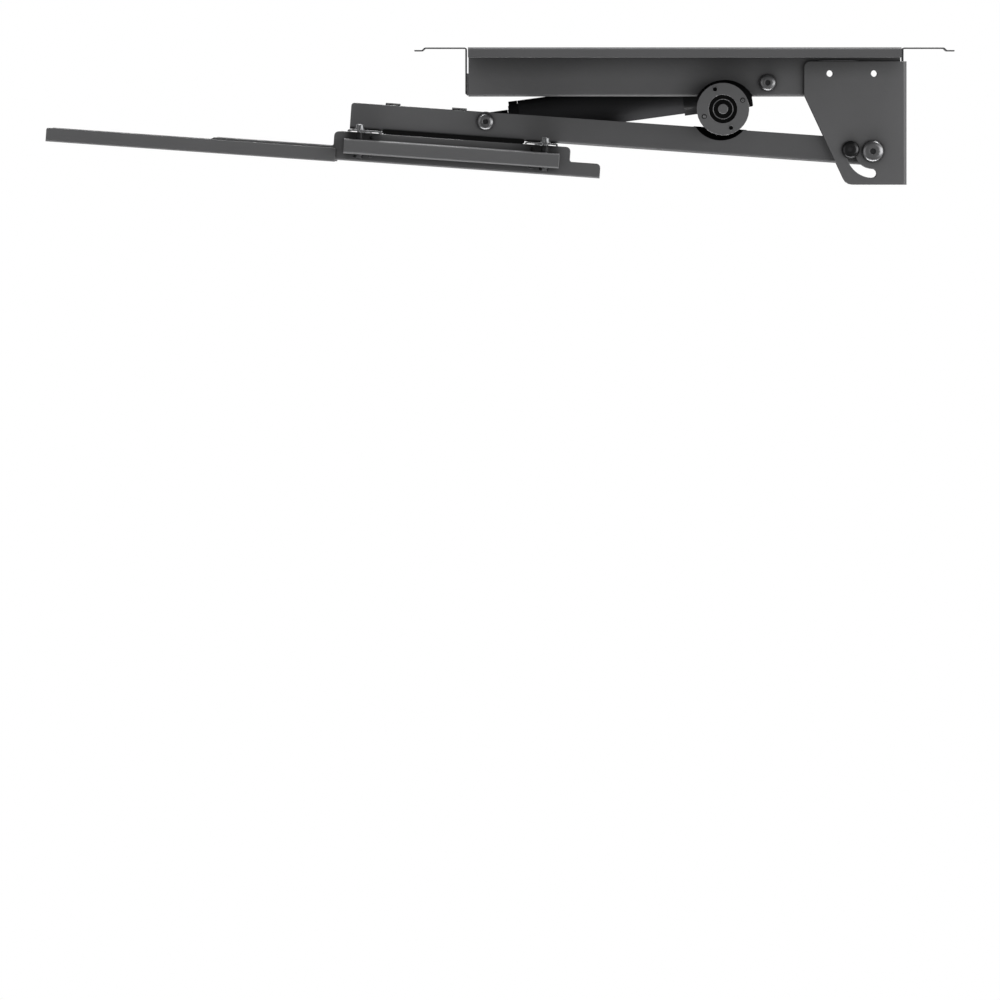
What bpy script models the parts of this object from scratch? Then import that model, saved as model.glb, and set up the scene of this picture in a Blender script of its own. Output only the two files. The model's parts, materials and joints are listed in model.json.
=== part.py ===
"""Motorised flip-down ceiling mount for a flat television, in its closed pose.

The ceiling is the plane Z = 0 and the mount hangs below it. X runs along the folding arm, with the
hinge at +X, and Y runs across the mount. The side with the motor is -Y and is called near.
All sizes are in metres.
"""
import math

import bmesh
import bpy
from mathutils import Matrix, Vector

# Clearances
SEAT_GAP = 0.0003
RUNNING_GAP = 0.0003
SLOT_GAP = 0.00035

# Ceiling plate
PLATE_LENGTH = 0.4216
PLATE_WIDTH = 0.480
PLATE_SHEET = 0.002
PLATE_RIM = 0.010
PLATE_BEND = 0.0016
LAG_EDGE = 0.037
LAG_END = 0.0458
LAG_COUNT = 4
LAG_SLOT_LENGTH = 0.045
LAG_SLOT_WIDTH = 0.009
WINDOW_LENGTH = 0.120
WINDOW_WIDTH = 0.050
WINDOW_CORNER = 0.008

# Main channel under the plate
CHANNEL_WIDTH = 0.150
CHANNEL_DROP = 0.0479
CHANNEL_SHEET = 0.002
CHANNEL_BEND = 0.0018
CHANNEL_LIP = 0.012
CHANNEL_NOTCH_GAP = 0.0054
CHANNEL_NOTCH_SHIFT = (0.0019, -0.0026)
TAB_WIDTH = 0.014
TAB_DROP = 0.0253
TAB_SHEET = 0.002

# End brackets with their ears
END_BRACKET_INSET = 0.0015
EAR_SHEET = 0.0013
EAR_BEND = 0.0015
EAR_LENGTH = 0.0497
EAR_FLAT = 0.0395
EAR_JOGGLE_RUN = 0.0026
EAR_JOGGLE_DROP = 0.0025
EAR_SLOT_LENGTH = 0.022
EAR_SLOT_WIDTH = 0.007
EAR_SLOT_SPACING = 0.090
END_WALL_GAP = 0.0018
END_WALL_LIFT = 0.0015
END_LIP_LENGTH = 0.008
END_LIP_GAP = 0.007

# Hinge bracket
BRACKET_SHEET = 0.0026
BRACKET_BEND = 0.0022
BRACKET_LENGTH = 0.0938
BRACKET_TOP_DROP = 0.0135
BRACKET_SLANT_DROP = 0.0463
BRACKET_FOOT_LENGTH = 0.0527
BRACKET_DROP = 0.1340
BRACKET_TOP_CORNER = 0.0054
BRACKET_FOOT_CORNER = 0.0088
BRACKET_SLANT_CORNER = 0.004
CHEEK_HOLE_RADIUS = 0.00325
CHEEK_HOLE_INSET = 0.0250
CHEEK_HOLE_SPACING = 0.0433
CHEEK_HOLE_DEPTH = 0.0119
CABLE_WINDOW_WIDTH = 0.050
CABLE_WINDOW_HEIGHT = 0.022
CABLE_WINDOW_DROP = 0.062

# Fold hinge
PIVOT_INSET = 0.0268
PIVOT_DROP = 0.1012
PIVOT_SHAFT_RADIUS = 0.008
PIVOT_BOLT_RADIUS = 0.005
PIVOT_BOLT_REACH = 0.022
PIVOT_HEAD_RADIUS = 0.0107
PIVOT_HEAD_HEIGHT = 0.0044
PIVOT_SOCKET_RADIUS = 0.0034
BUSH_WALL = 0.0022
BUSH_FLANGE_RADIUS = 0.0125
BUSH_SLEEVE_DEPTH = 0.0035

# Guide bolts in the arc slots
GUIDE_REACH = 0.0218
GUIDE_RADIUS = 0.004
GUIDE_HEAD_RADIUS = 0.0085
GUIDE_HEAD_HEIGHT = 0.0036
GUIDE_SOCKET_RADIUS = 0.0028
GUIDE_ROLLER_RADIUS = 0.0082
GUIDE_BOLT_INSIDE = 0.006
SLOT_SWEEP = 92.9

# Folding arm. Its own frame has the origin at the hinge, -X towards the free end and +Z up.
ARM_TILT = 4.04
ARM_LENGTH = 0.5110
ARM_SIDE_GAP = 0.0053
ARM_SHEET = 0.0025
ARM_BEND = 0.0019
ARM_ABOVE_PIVOT = 0.0115
ARM_BELOW_PIVOT = 0.0141
ARM_HEEL_RADIUS = 0.0146
ARM_END_CORNER = 0.003
ARM_NOTCH_GAP = 0.0037
ARM_NOTCH_SHIFT = (-0.0019, -0.0015)
ARM_WINDOW_LENGTH = 0.070
ARM_WINDOW_WIDTH = 0.060
ARM_WINDOW_REACH = 0.085
CLIP_LENGTH = 0.0145
CLIP_SHEET = 0.0014
CLIP_BEND = 0.0015
CLIP_RISE = 0.0012
CLIP_WIDTH = 0.0095
CLIP_HEIGHT = 0.011
CLIP_LIP = 0.006
CLIP_INSETS = (0.1055, 0.0406)

# Pins of the actuator
ACTUATOR_SETBACK = 0.1027
ACTUATOR_DROP = 0.0343
ROD_PIN_INSET = 0.1317
ROD_PIN_RISE = 0.0020
CROSS_BOLT_RADIUS = 0.005
CROSS_HEAD_RADIUS = 0.0082
CROSS_HEAD_HEIGHT = 0.0042
CROSS_SOCKET_RADIUS = 0.0031
CROSS_NUT_RADIUS = 0.0092
CROSS_NUT_HEIGHT = 0.008
SPACER_RADIUS = 0.009
SLEEVE_RADIUS = 0.008

# Actuator. Its own frame has the origin at the rear pin, and the rod comes out towards -X.
EYE_RADIUS = 0.013
EYE_WIDTH = 0.024
NECK_HEIGHT = 0.018
GEARBOX_REAR = 0.017
GEARBOX_FRONT = 0.056
GEARBOX_TOP = 0.0175
GEARBOX_STEP = 0.021
GEARBOX_BOTTOM = 0.038
GEARBOX_WIDTH = 0.0404
GEARBOX_CORNER = 0.004
GEARBOX_STEP_CORNER = 0.0015
BULGE_REAR = 0.027
BULGE_CORNER = 0.009
COVER_THICKNESS = 0.0057
WHEEL_WIDTH = 0.011
WHEEL_ROOM = 0.0011
WORM_RADIUS = 0.005
WORM_GAP = 0.0006
WORM_LENGTH = 0.026
WORM_ROOM = 0.001
SCREW_RADIUS = 0.005
SCREW_REAR = 0.024
SCREW_END_GAP = 0.0431
BEARING_RADIUS = 0.011
BEARING_WIDTH = 0.0085
MOTOR_REACH = 0.0468
MOTOR_DROP = 0.0195
MOTOR_RADIUS = 0.024
MOTOR_WALL = 0.003
MOTOR_FRONT = 0.082
MOTOR_CAP_RADIUS = 0.02565
MOTOR_CAP_THICKNESS = 0.0097
MOTOR_CAP_SPIGOT = 0.005
MOTOR_CAP_RECESS = 0.0139
MOTOR_CAP_RECESS_DEPTH = 0.0040
MOTOR_CAP_BOSS = 0.0049
MOTOR_SHAFT_RADIUS = 0.004
ARMATURE_RADIUS = 0.015
ARMATURE_REAR = 0.028
ARMATURE_FRONT = 0.074
AXIS_DROP = 0.0013
TUBE_RADIUS = 0.01755
TUBE_WALL = 0.0025
TUBE_END_GAP = 0.0331
REAR_COLLAR_WALL = 0.00185
REAR_COLLAR_LENGTH = 0.022
FRONT_COLLAR_RADIUS = 0.0177
FRONT_COLLAR_LENGTH = 0.0086
FRONT_COLLAR_SPIGOT = 0.010
SEAL_WALL = 0.0032
SEAL_SEAT = 0.004
SEAL_STANDOUT = 0.0008

# Rod
ROD_RADIUS = 0.010
ROD_WALL = 0.003
NUT_REAR = 0.0645
NUT_LENGTH = 0.016
NUT_SPIGOT = 0.0145
ROD_EYE_RADIUS = 0.0100
ROD_EYE_WIDTH = 0.0234
ROD_NECK = 0.0228
ROD_SPIGOT = 0.017

# Bracket for the television, in the arm's frame
TV_BRACKET_INSET = 0.1013
CROSSBAR_SPACING = 0.1728
CROSSBAR_WIDTH = 0.0322
CROSSBAR_LENGTH = 0.472
CROSSBAR_SHEET = 0.0016
CROSSBAR_HEIGHT = 0.00245
CROSSBAR_BEND = 0.0015
ARM_BOLT_RADIUS = 0.003
ARM_BOLT_SPACING = 0.070
SPREADER_SHEET = 0.0020
SPREADER_BEND = 0.0016
SPREADER_SKIRT = 0.0062
SPREADER_INSET = 0.005
SPREADER_GAP = 0.002
LOCK_SPACING = 0.181
LOCK_END_GAP = 0.0095
LOCK_WEB_GAP = 0.0105
LOCK_RADIUS = 0.0025
LOCK_WASHER_RADIUS = 0.005
LOCK_WASHER = 0.0012
LOCK_HEAD_RADIUS = 0.0038
LOCK_HEAD_HEIGHT = 0.0040
LOCK_SOCKET_RADIUS = 0.0021
LOCK_LENGTH = 0.0275
RAIL_TRAVEL = 0.100

# Television rails, near and far
RAIL_WIDTH = 0.032
RAIL_SHEET = 0.0018
RAIL_BEND = 0.0014
RAIL_LIFT_GAP = 0.0003
RAISED_LENGTH = 0.2302
RAIL_TAIL = 0.0303
RAIL_OUTER_PART = 0.1166
RAIL_RAMP = 0.0035
RAIL_FACE_DROP = 0.0452
RAIL_SHOULDER_DROP = 0.0315
RAISED_CORNER = 0.0045
RAISED_FOOT_CORNER = 0.002
TAIL_CORNER = 0.004
TOP_FLANGE_WIDTH = 0.020
TOP_FLANGE_INSET = 0.007
EXTENSION_SHEET = 0.0016
EXTENSION_BEND = 0.0011
EXTENSION_LENGTH = 0.2822
EXTENSION_OVERLAP = 0.1225
EXTENSION_TOP_DROP = 0.0337
EXTENSION_CORNER = 0.002
SIDE_BAR_LENGTH = 0.2099
SIDE_BAR_TOP_DROP = 0.0235
SIDE_BAR_HEIGHT = 0.0148
SIDE_BAR_DEPTH = 0.0197
SIDE_BAR_SHEET = 0.0018
SIDE_BAR_BEND = 0.0019
TV_SLOT_WIDTH = 0.0084
TV_SLOT_LENGTH = 0.054
TV_SLOT_PITCH = 0.075

# Control box in the channel
BOX_LENGTH = 0.082
BOX_SIDE_GAP = 0.025
BOX_TUBE_GAP = 0.0063
BOX_WALL = 0.0016
BOX_END_GAP = 0.0075
BOX_LID = 0.002
INLET_WIDTH = 0.022
INLET_HEIGHT = 0.013
INLET_DEPTH = 0.012
INLET_STANDOUT = 0.0015
INLET_WALL = 0.002
CHANNEL_WINDOW_MARGIN = 0.006

# Proportions of screw heads
HEAD_FLAT_SHARE = 0.55
HEAD_EDGE_SHARE = 0.2
SOCKET_DEPTH_SHARE = 0.6
CUTTER_SPARE = 0.001

# Steps in round shapes
ARC_STEP = math.radians(30)
ROUND_STEPS = 32
BOLT_STEPS = 24

# Places that follow from the sizes above
LAG_SPACING = PLATE_WIDTH - 2 * LAG_EDGE
LAG_PITCH = (PLATE_LENGTH - 2 * LAG_END) / (LAG_COUNT - 1)
WINDOW_OFFSET = (CHANNEL_WIDTH + LAG_SPACING) / 4
PIVOT_X = PLATE_LENGTH / 2 - PIVOT_INSET
ACTUATOR_X = PIVOT_X - ACTUATOR_SETBACK
BRACKET_LEFT = PLATE_LENGTH / 2 - BRACKET_LENGTH
BRACKET_FOOT_LEFT = PLATE_LENGTH / 2 - BRACKET_FOOT_LENGTH
CHANNEL_TOP = PLATE_SHEET + SEAT_GAP
CHANNEL_INSIDE = CHANNEL_WIDTH / 2 - CHANNEL_SHEET
END_BRACKET_WIDTH = CHANNEL_WIDTH - 2 * END_BRACKET_INSET
END_WALL_DROP = CHANNEL_DROP - END_WALL_LIFT
END_LIP_WIDTH = CHANNEL_WIDTH - 2 * (CHANNEL_LIP + END_LIP_GAP)
END_WALL_INNER = PLATE_LENGTH / 2 + END_WALL_GAP
END_WALL_OUTER = END_WALL_INNER + EAR_SHEET
CHEEK_INSIDE = CHANNEL_WIDTH / 2 + SEAT_GAP
CHEEK_OUTSIDE = CHEEK_INSIDE + BRACKET_SHEET
ARM_WIDTH = 2 * (CHEEK_INSIDE - ARM_SIDE_GAP)
ARM_INSIDE = ARM_WIDTH / 2 - ARM_SHEET
MOTOR_REAR = GEARBOX_WIDTH / 2 + SEAT_GAP
COVER_FRONT = GEARBOX_FRONT + SEAT_GAP + COVER_THICKNESS
WHEEL_RADIUS = MOTOR_DROP - AXIS_DROP - WORM_RADIUS - WORM_GAP
AXIS = (0, 0, -AXIS_DROP)
TUBE_REAR = COVER_FRONT + SEAT_GAP
TUBE_INSIDE = TUBE_RADIUS - TUBE_WALL
ROD_PIN_REACH = ARM_LENGTH - ROD_PIN_INSET
CROSSBAR_TOP = ARM_BELOW_PIVOT + SEAT_GAP
CROSSBAR_BOTTOM = CROSSBAR_TOP + CROSSBAR_HEIGHT
RAIL_TOP = CROSSBAR_BOTTOM + RAIL_LIFT_GAP
BRACKET_REACH = ARM_LENGTH - TV_BRACKET_INSET
INNER_BAR_REACH = BRACKET_REACH - CROSSBAR_SPACING / 2
ARM_WINDOW_REACHES = (ARM_WINDOW_REACH, (ARM_WINDOW_REACH + INNER_BAR_REACH) / 2)
SPREADER_WIDTH = ARM_WIDTH - 2 * SPREADER_INSET
LOCK_OFFSET = CROSSBAR_LENGTH / 2 - LOCK_END_GAP
RAIL_OUTSIDE = LOCK_OFFSET - LOCK_WEB_GAP
RAIL_OFFSET = RAIL_OUTSIDE - RAIL_WIDTH / 2
RAISED_START = BRACKET_REACH - RAISED_LENGTH / 2
RAISED_END = BRACKET_REACH + RAISED_LENGTH / 2
RAIL_START = RAISED_START - RAIL_TAIL
RAIL_END = RAISED_END + RAIL_OUTER_PART
EXTENSION_START = RAIL_END + RAIL_RAMP - EXTENSION_OVERLAP
EXTENSION_END = EXTENSION_START + EXTENSION_LENGTH
BOX_WIDTH = 2 * (CHANNEL_INSIDE - BOX_SIDE_GAP)
BOX_LEFT = -PLATE_LENGTH / 2 + BOX_END_GAP
BOX_RIGHT = BOX_LEFT + BOX_LENGTH
BOX_TOP = CHANNEL_TOP + CHANNEL_SHEET + SEAT_GAP


def arm_point(reach, rise):
    """Place in the world's X and Z of a point in the closed arm's frame."""
    tilt = math.radians(ARM_TILT)
    x = PIVOT_X - reach * math.cos(tilt) + rise * math.sin(tilt)
    z = -PIVOT_DROP + reach * math.sin(tilt) + rise * math.cos(tilt)
    return x, z


def actuator_tilt_and_length():
    """Slope of the closed actuator's axis and the distance between its two pins."""
    rod_x, rod_z = arm_point(ROD_PIN_REACH, ROD_PIN_RISE)
    run = ACTUATOR_X - rod_x
    fall = -ACTUATOR_DROP - rod_z
    return math.atan2(fall, run), math.hypot(run, fall)


ACTUATOR_TILT, ACTUATOR_LENGTH = actuator_tilt_and_length()
TUBE_FRONT = ACTUATOR_LENGTH - TUBE_END_GAP
SCREW_LENGTH = ACTUATOR_LENGTH - SCREW_END_GAP - SCREW_REAR


def tube_top_drop(x):
    """Depth below the ceiling of the closed tube's top at a place along X."""
    axis = ACTUATOR_DROP + (ACTUATOR_X - x) * math.tan(ACTUATOR_TILT)
    return axis + (AXIS_DROP - TUBE_RADIUS) / math.cos(ACTUATOR_TILT)


BOX_DROP = tube_top_drop(BOX_RIGHT) - BOX_TUBE_GAP - BOX_LID - SEAT_GAP

# Directions that a turned piece's own +Z can face
NEAR = (math.pi / 2, 0, 0)
FAR = (-math.pi / 2, 0, 0)
FORWARD = (0, -math.pi / 2, 0)
UP = (0, 0, 0)

# How a flat outline's two axes and its thickness lie in the piece's frame
PLANES = {
    "XY": Matrix.Identity(4),
    "XZ": Matrix(((1, 0, 0, 0), (0, 0, 1, 0), (0, 1, 0, 0), (0, 0, 0, 1))),
    "YZ": Matrix(((0, 0, 1, 0), (1, 0, 0, 0), (0, 1, 0, 0), (0, 0, 0, 1))),
}


def start_scene():
    """Empty the scene and make the collections for the parts and for the cutters."""
    for old in list(bpy.data.objects):
        bpy.data.objects.remove(old)
    groups = []
    for name in ("tv_ceiling_mount", "cutters"):
        group = bpy.data.collections.new(name)
        bpy.context.scene.collection.children.link(group)
        groups.append(group)
    return groups


PARTS, CUTTERS = start_scene()


def make_material(name, color, roughness, metallic):
    """Principled material with one colour, which every piece of that finish shares."""
    look = bpy.data.materials.new(name)
    look.use_nodes = True
    shader = look.node_tree.nodes["Principled BSDF"]
    shader.inputs["Base Color"].default_value = (*color, 1)
    shader.inputs["Roughness"].default_value = roughness
    shader.inputs["Metallic"].default_value = metallic
    look.diffuse_color = (*color, 1)
    return look


COATED = make_material("coated_steel", (0.075, 0.075, 0.078), 0.5, 0.0)
BLACK = make_material("black_metal", (0.012, 0.012, 0.013), 0.4, 0.0)
ZINC = make_material("zinc_steel", (0.62, 0.63, 0.64), 0.3, 1.0)
CHROME = make_material("chrome", (0.75, 0.75, 0.76), 0.12, 1.0)
STEEL = make_material("plain_steel", (0.45, 0.45, 0.46), 0.35, 1.0)
BRONZE = make_material("bronze", (0.45, 0.28, 0.12), 0.35, 1.0)
NYLON = make_material("nylon", (0.03, 0.03, 0.032), 0.5, 0.0)
PLASTIC = make_material("black_plastic", (0.02, 0.02, 0.021), 0.55, 0.0)
RUBBER = make_material("rubber", (0.012, 0.012, 0.012), 0.8, 0.0)


def add_frame(name, location, rotation_y):
    """Empty that carries the pieces of a moving body, on its joint's axis."""
    frame = bpy.data.objects.new(name, None)
    frame.location = location
    frame.rotation_euler = (0, rotation_y, 0)
    bpy.context.scene.collection.objects.link(frame)
    return frame


ARM = add_frame("arm_frame", (PIVOT_X, 0, -PIVOT_DROP), math.radians(ARM_TILT))
ACTUATOR = add_frame("actuator_frame", (ACTUATOR_X, 0, -ACTUATOR_DROP), -ACTUATOR_TILT)


def add_piece(name, mesh, look, parent=None, at=(0, 0, 0), facing=UP):
    """Named part with its own copy of a finish."""
    piece = bpy.data.objects.new(name, mesh)
    own = look.copy()
    own.name = name
    mesh.materials.clear()
    mesh.materials.append(own)
    piece.parent = parent
    piece.location = at
    piece.rotation_euler = facing
    PARTS.objects.link(piece)
    return piece


def change(piece, mesh, operation="DIFFERENCE"):
    """Boolean of a piece with a mesh drawn in the piece's own frame or its parent's."""
    cutter = bpy.data.objects.new(mesh.name, mesh)
    cutter.parent = piece.parent
    cutter.hide_render = True
    cutter.display_type = "WIRE"
    CUTTERS.objects.link(cutter)
    modifier = piece.modifiers.new(mesh.name, "BOOLEAN")
    modifier.operation = operation
    modifier.object = cutter
    return cutter


def rounded(path, radii, closed=True):
    """Path whose corners are arcs of the given radii."""
    points = []
    count = len(path)
    for index, (corner, radius) in enumerate(zip(path, radii)):
        here = Vector(corner)
        at_end = not closed and index in (0, count - 1)
        if radius == 0 or at_end:
            points.append(here)
            continue
        back = (Vector(path[index - 1]) - here).normalized()
        ahead = (Vector(path[(index + 1) % count]) - here).normalized()
        half = back.angle(ahead) / 2
        centre = here + (back + ahead).normalized() * radius / math.sin(half)
        first = here + back * radius / math.tan(half) - centre
        sweep = first.angle_signed(here + ahead * radius / math.tan(half) - centre)
        steps = max(2, math.ceil(abs(sweep) / ARC_STEP))
        for step in range(steps + 1):
            turn = Matrix.Rotation(-sweep * step / steps, 2)
            points.append(centre + turn @ first)
    return [tuple(point) for point in points]


def same_radius(path, radius):
    """Path with every corner rounded alike."""
    return rounded(path, [radius] * len(path))


def rectangle(centre, length, width, corner=0):
    """Closed outline of a rectangle with rounded corners."""
    x, y = centre
    right, top = length / 2, width / 2
    corners = [(x - right, y - top), (x + right, y - top), (x + right, y + top), (x - right, y + top)]
    return same_radius(corners, corner)


def arc(centre, radius, start, end, steps):
    """Points along an arc, angles in radians."""
    points = []
    for step in range(steps + 1):
        angle = start + (end - start) * step / steps
        points.append((centre[0] + radius * math.cos(angle), centre[1] + radius * math.sin(angle)))
    return points


def slot(centre, length, width):
    """Closed outline of a slot with round ends along the first axis."""
    x, y = centre
    reach = (length - width) / 2
    right = arc((x + reach, y), width / 2, -math.pi / 2, math.pi / 2, 6)
    left = arc((x - reach, y), width / 2, math.pi / 2, 3 * math.pi / 2, 6)
    return right + left


def arc_slot(centre, radius, width, start, end):
    """Closed outline of a slot that follows an arc, with round ends."""
    outer = arc(centre, radius + width / 2, start, end, 14)
    inner = arc(centre, radius - width / 2, end, start, 14)
    tip = (centre[0] + radius * math.cos(end), centre[1] + radius * math.sin(end))
    tail = (centre[0] + radius * math.cos(start), centre[1] + radius * math.sin(start))
    tip_arc = arc(tip, width / 2, end, end + math.pi, 6)[1:-1]
    tail_arc = arc(tail, width / 2, start + math.pi, start + 2 * math.pi, 6)[1:-1]
    return outer + tip_arc + inner + tail_arc


def prism(name, loops, start, end, plane):
    """Closed mesh of flat outlines, with a thickness that runs from start to end."""
    curve = bpy.data.curves.new(name, "CURVE")
    curve.dimensions = "2D"
    curve.fill_mode = "BOTH"
    curve.extrude = (end - start) / 2
    for loop in loops:
        spline = curve.splines.new("POLY")
        spline.points.add(len(loop) - 1)
        for point, (u, v) in zip(spline.points, loop):
            point.co = (u, v, 0, 1)
        spline.use_cyclic_u = True
    guide = bpy.data.objects.new(name, curve)
    bpy.context.scene.collection.objects.link(guide)
    bpy.context.view_layer.update()
    drawn = guide.evaluated_get(bpy.context.evaluated_depsgraph_get())
    mesh = bpy.data.meshes.new_from_object(drawn)
    mesh.name = name
    bpy.data.objects.remove(guide)
    bpy.data.curves.remove(curve)
    shape = bmesh.new()
    shape.from_mesh(mesh)
    bmesh.ops.remove_doubles(shape, verts=shape.verts, dist=0.000001)
    middle = Matrix.Translation((0, 0, (start + end) / 2))
    bmesh.ops.transform(shape, matrix=PLANES[plane] @ middle, verts=shape.verts)
    bmesh.ops.recalc_face_normals(shape, faces=shape.faces)
    shape.to_mesh(mesh)
    shape.free()
    mesh.shade_smooth()
    mesh.set_sharp_from_angle(angle=math.radians(35))
    return mesh


def folded(name, path, sheet, bend, start, end, plane):
    """Mesh of a folded sheet whose mid-line follows a path, with every fold rounded."""
    line = [Vector(point) for point in rounded(path, [bend] * len(path), closed=False)]
    one_side = []
    other_side = []
    last = len(line) - 1
    for index, point in enumerate(line):
        back = (point - line[max(index - 1, 0)]).normalized()
        ahead = (line[min(index + 1, last)] - point).normalized()
        along = (back + ahead).normalized()
        spread = max(along.dot(back), along.dot(ahead))
        across = Vector((-along.y, along.x)) * sheet / 2 / spread
        one_side.append(tuple(point + across))
        other_side.append(tuple(point - across))
    return prism(name, [one_side + other_side[::-1]], start, end, plane)


def block(name, low, high):
    """Mesh of a plain block between two corners."""
    shape = bmesh.new()
    bmesh.ops.create_cube(shape, size=1)
    size = Vector(high) - Vector(low)
    middle = (Vector(high) + Vector(low)) / 2
    bmesh.ops.scale(shape, vec=size, verts=shape.verts)
    bmesh.ops.translate(shape, vec=middle, verts=shape.verts)
    mesh = bpy.data.meshes.new(name)
    shape.to_mesh(mesh)
    shape.free()
    return mesh


def rods(name, places, start, end, radius, plane="XZ", steps=BOLT_STEPS):
    """Mesh of equal round rods through a plane, for holes and pins."""
    shape = bmesh.new()
    turn = PLANES[plane]
    for u, v in places:
        place = turn @ Matrix.Translation((u, v, (start + end) / 2))
        bmesh.ops.create_cone(shape, cap_ends=True, segments=steps, radius1=radius, radius2=radius,
                              depth=end - start, matrix=place)
    bmesh.ops.recalc_face_normals(shape, faces=shape.faces)
    mesh = bpy.data.meshes.new(name)
    shape.to_mesh(mesh)
    shape.free()
    mesh.shade_smooth()
    mesh.set_sharp_from_angle(angle=math.radians(35))
    return mesh


def joined(name, meshes):
    """One mesh that holds several shapes that stand apart."""
    shape = bmesh.new()
    for mesh in meshes:
        shape.from_mesh(mesh)
        bpy.data.meshes.remove(mesh)
    result = bpy.data.meshes.new(name)
    shape.to_mesh(result)
    shape.free()
    return result


def turned(name, profile, look, parent=None, at=(0, 0, 0), facing=UP, ring=False, steps=ROUND_STEPS):
    """Turned piece. The profile gives radius and height, and runs down the outer side."""
    count = len(profile)
    edges = [(index, index + 1) for index in range(count - 1)]
    if ring:
        edges.append((count - 1, 0))
    mesh = bpy.data.meshes.new(name)
    mesh.from_pydata([(radius, 0, height) for radius, height in profile], edges, [])
    piece = add_piece(name, mesh, look, parent, at, facing)
    screw = piece.modifiers.new("turn", "SCREW")
    screw.axis = "Z"
    screw.steps = steps
    screw.render_steps = steps
    screw.use_merge_vertices = True
    screw.merge_threshold = 0.00001
    screw.use_smooth_shade = True
    return piece


def ring_profile(outer, inner, low, high):
    """Profile of a plain ring or tube."""
    return [(outer, high), (outer, low), (inner, low), (inner, high)]


def button_head(radius, height, base):
    """Outer side of a domed screw head, from its flat top down to its base."""
    flat = radius * HEAD_FLAT_SHARE
    edge = height * HEAD_EDGE_SHARE
    points = [(0, base + height)]
    for step in range(5):
        angle = math.pi / 2 * (1 - step / 4)
        points.append((flat + (radius - flat) * math.cos(angle),
                       base + edge + (height - edge) * math.sin(angle)))
    points.append((radius, base))
    return points


def hex_socket(piece, radius, top, depth):
    """Six-sided recess in the top of a turned piece."""
    shape = bmesh.new()
    place = Matrix.Translation((0, 0, top + (CUTTER_SPARE - depth) / 2))
    bmesh.ops.create_cone(shape, cap_ends=True, segments=6, radius1=radius, radius2=radius,
                          depth=depth + CUTTER_SPARE, matrix=place)
    mesh = bpy.data.meshes.new(piece.name + "_socket")
    shape.to_mesh(mesh)
    shape.free()
    cutter = change(piece, mesh)
    cutter.location = piece.location
    cutter.rotation_euler = piece.rotation_euler


def screw_piece(name, look, parent, at, facing, head, shank, tip, socket):
    """Domed screw. The head is its radius, height and base, and the shank ends at the tip."""
    radius, height, base = head
    profile = button_head(radius, height, base) + [(shank, base), (shank, tip), (0, tip)]
    piece = turned(name, profile, look, parent, at, facing, steps=BOLT_STEPS)
    hex_socket(piece, socket, base + height, height * SOCKET_DEPTH_SHARE)
    return piece


def sides():
    """The near side and the far side, with their sign along Y and the way a bolt faces there."""
    return (("near", -1, NEAR), ("far", 1, FAR))


def band(side, inner, outer):
    """Range along Y between two distances from the middle, on one side."""
    return (side * inner, side * outer) if side > 0 else (side * outer, side * inner)


def motor_in_world():
    """Place of the motor's axis in the world's X and Z, closed."""
    tilt = ACTUATOR_TILT
    x = ACTUATOR_X - MOTOR_REACH * math.cos(tilt) + MOTOR_DROP * math.sin(tilt)
    z = -ACTUATOR_DROP - MOTOR_REACH * math.sin(tilt) - MOTOR_DROP * math.cos(tilt)
    return x, z


def motor_in_arm():
    """Place of the motor's axis in the closed arm's own X and Z."""
    x, z = motor_in_world()
    tilt = math.radians(ARM_TILT)
    along = x - PIVOT_X
    up = z + PIVOT_DROP
    return along * math.cos(tilt) - up * math.sin(tilt), along * math.sin(tilt) + up * math.cos(tilt)


def ceiling_plate():
    """Wide plate with turned-down rims, lag slots and two windows."""
    half = PLATE_WIDTH / 2 - PLATE_SHEET / 2
    top = -PLATE_SHEET / 2
    path = [(-half, -PLATE_RIM), (-half, top), (half, top), (half, -PLATE_RIM)]
    half_length = PLATE_LENGTH / 2
    mesh = folded("ceiling_plate", path, PLATE_SHEET, PLATE_BEND, -half_length, half_length, "YZ")
    plate = add_piece("ceiling_plate", mesh, COATED)
    outlines = []
    for side in (-1, 1):
        for column in range(LAG_COUNT):
            x = (column - (LAG_COUNT - 1) / 2) * LAG_PITCH
            outlines.append(slot((x, side * LAG_SPACING / 2), LAG_SLOT_LENGTH, LAG_SLOT_WIDTH))
        outlines.append(rectangle((0, side * WINDOW_OFFSET), WINDOW_LENGTH, WINDOW_WIDTH, WINDOW_CORNER))
    change(plate, prism("plate_openings", outlines, -2 * PLATE_SHEET, PLATE_SHEET, "XY"))


def cheek_hole_places():
    """The two plain holes that go through the bracket's cheeks and the channel's legs."""
    first = BRACKET_LEFT + CHEEK_HOLE_INSET
    height = -(BRACKET_TOP_DROP + CHEEK_HOLE_DEPTH)
    return [(first, height), (first + CHEEK_HOLE_SPACING, height)]


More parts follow.
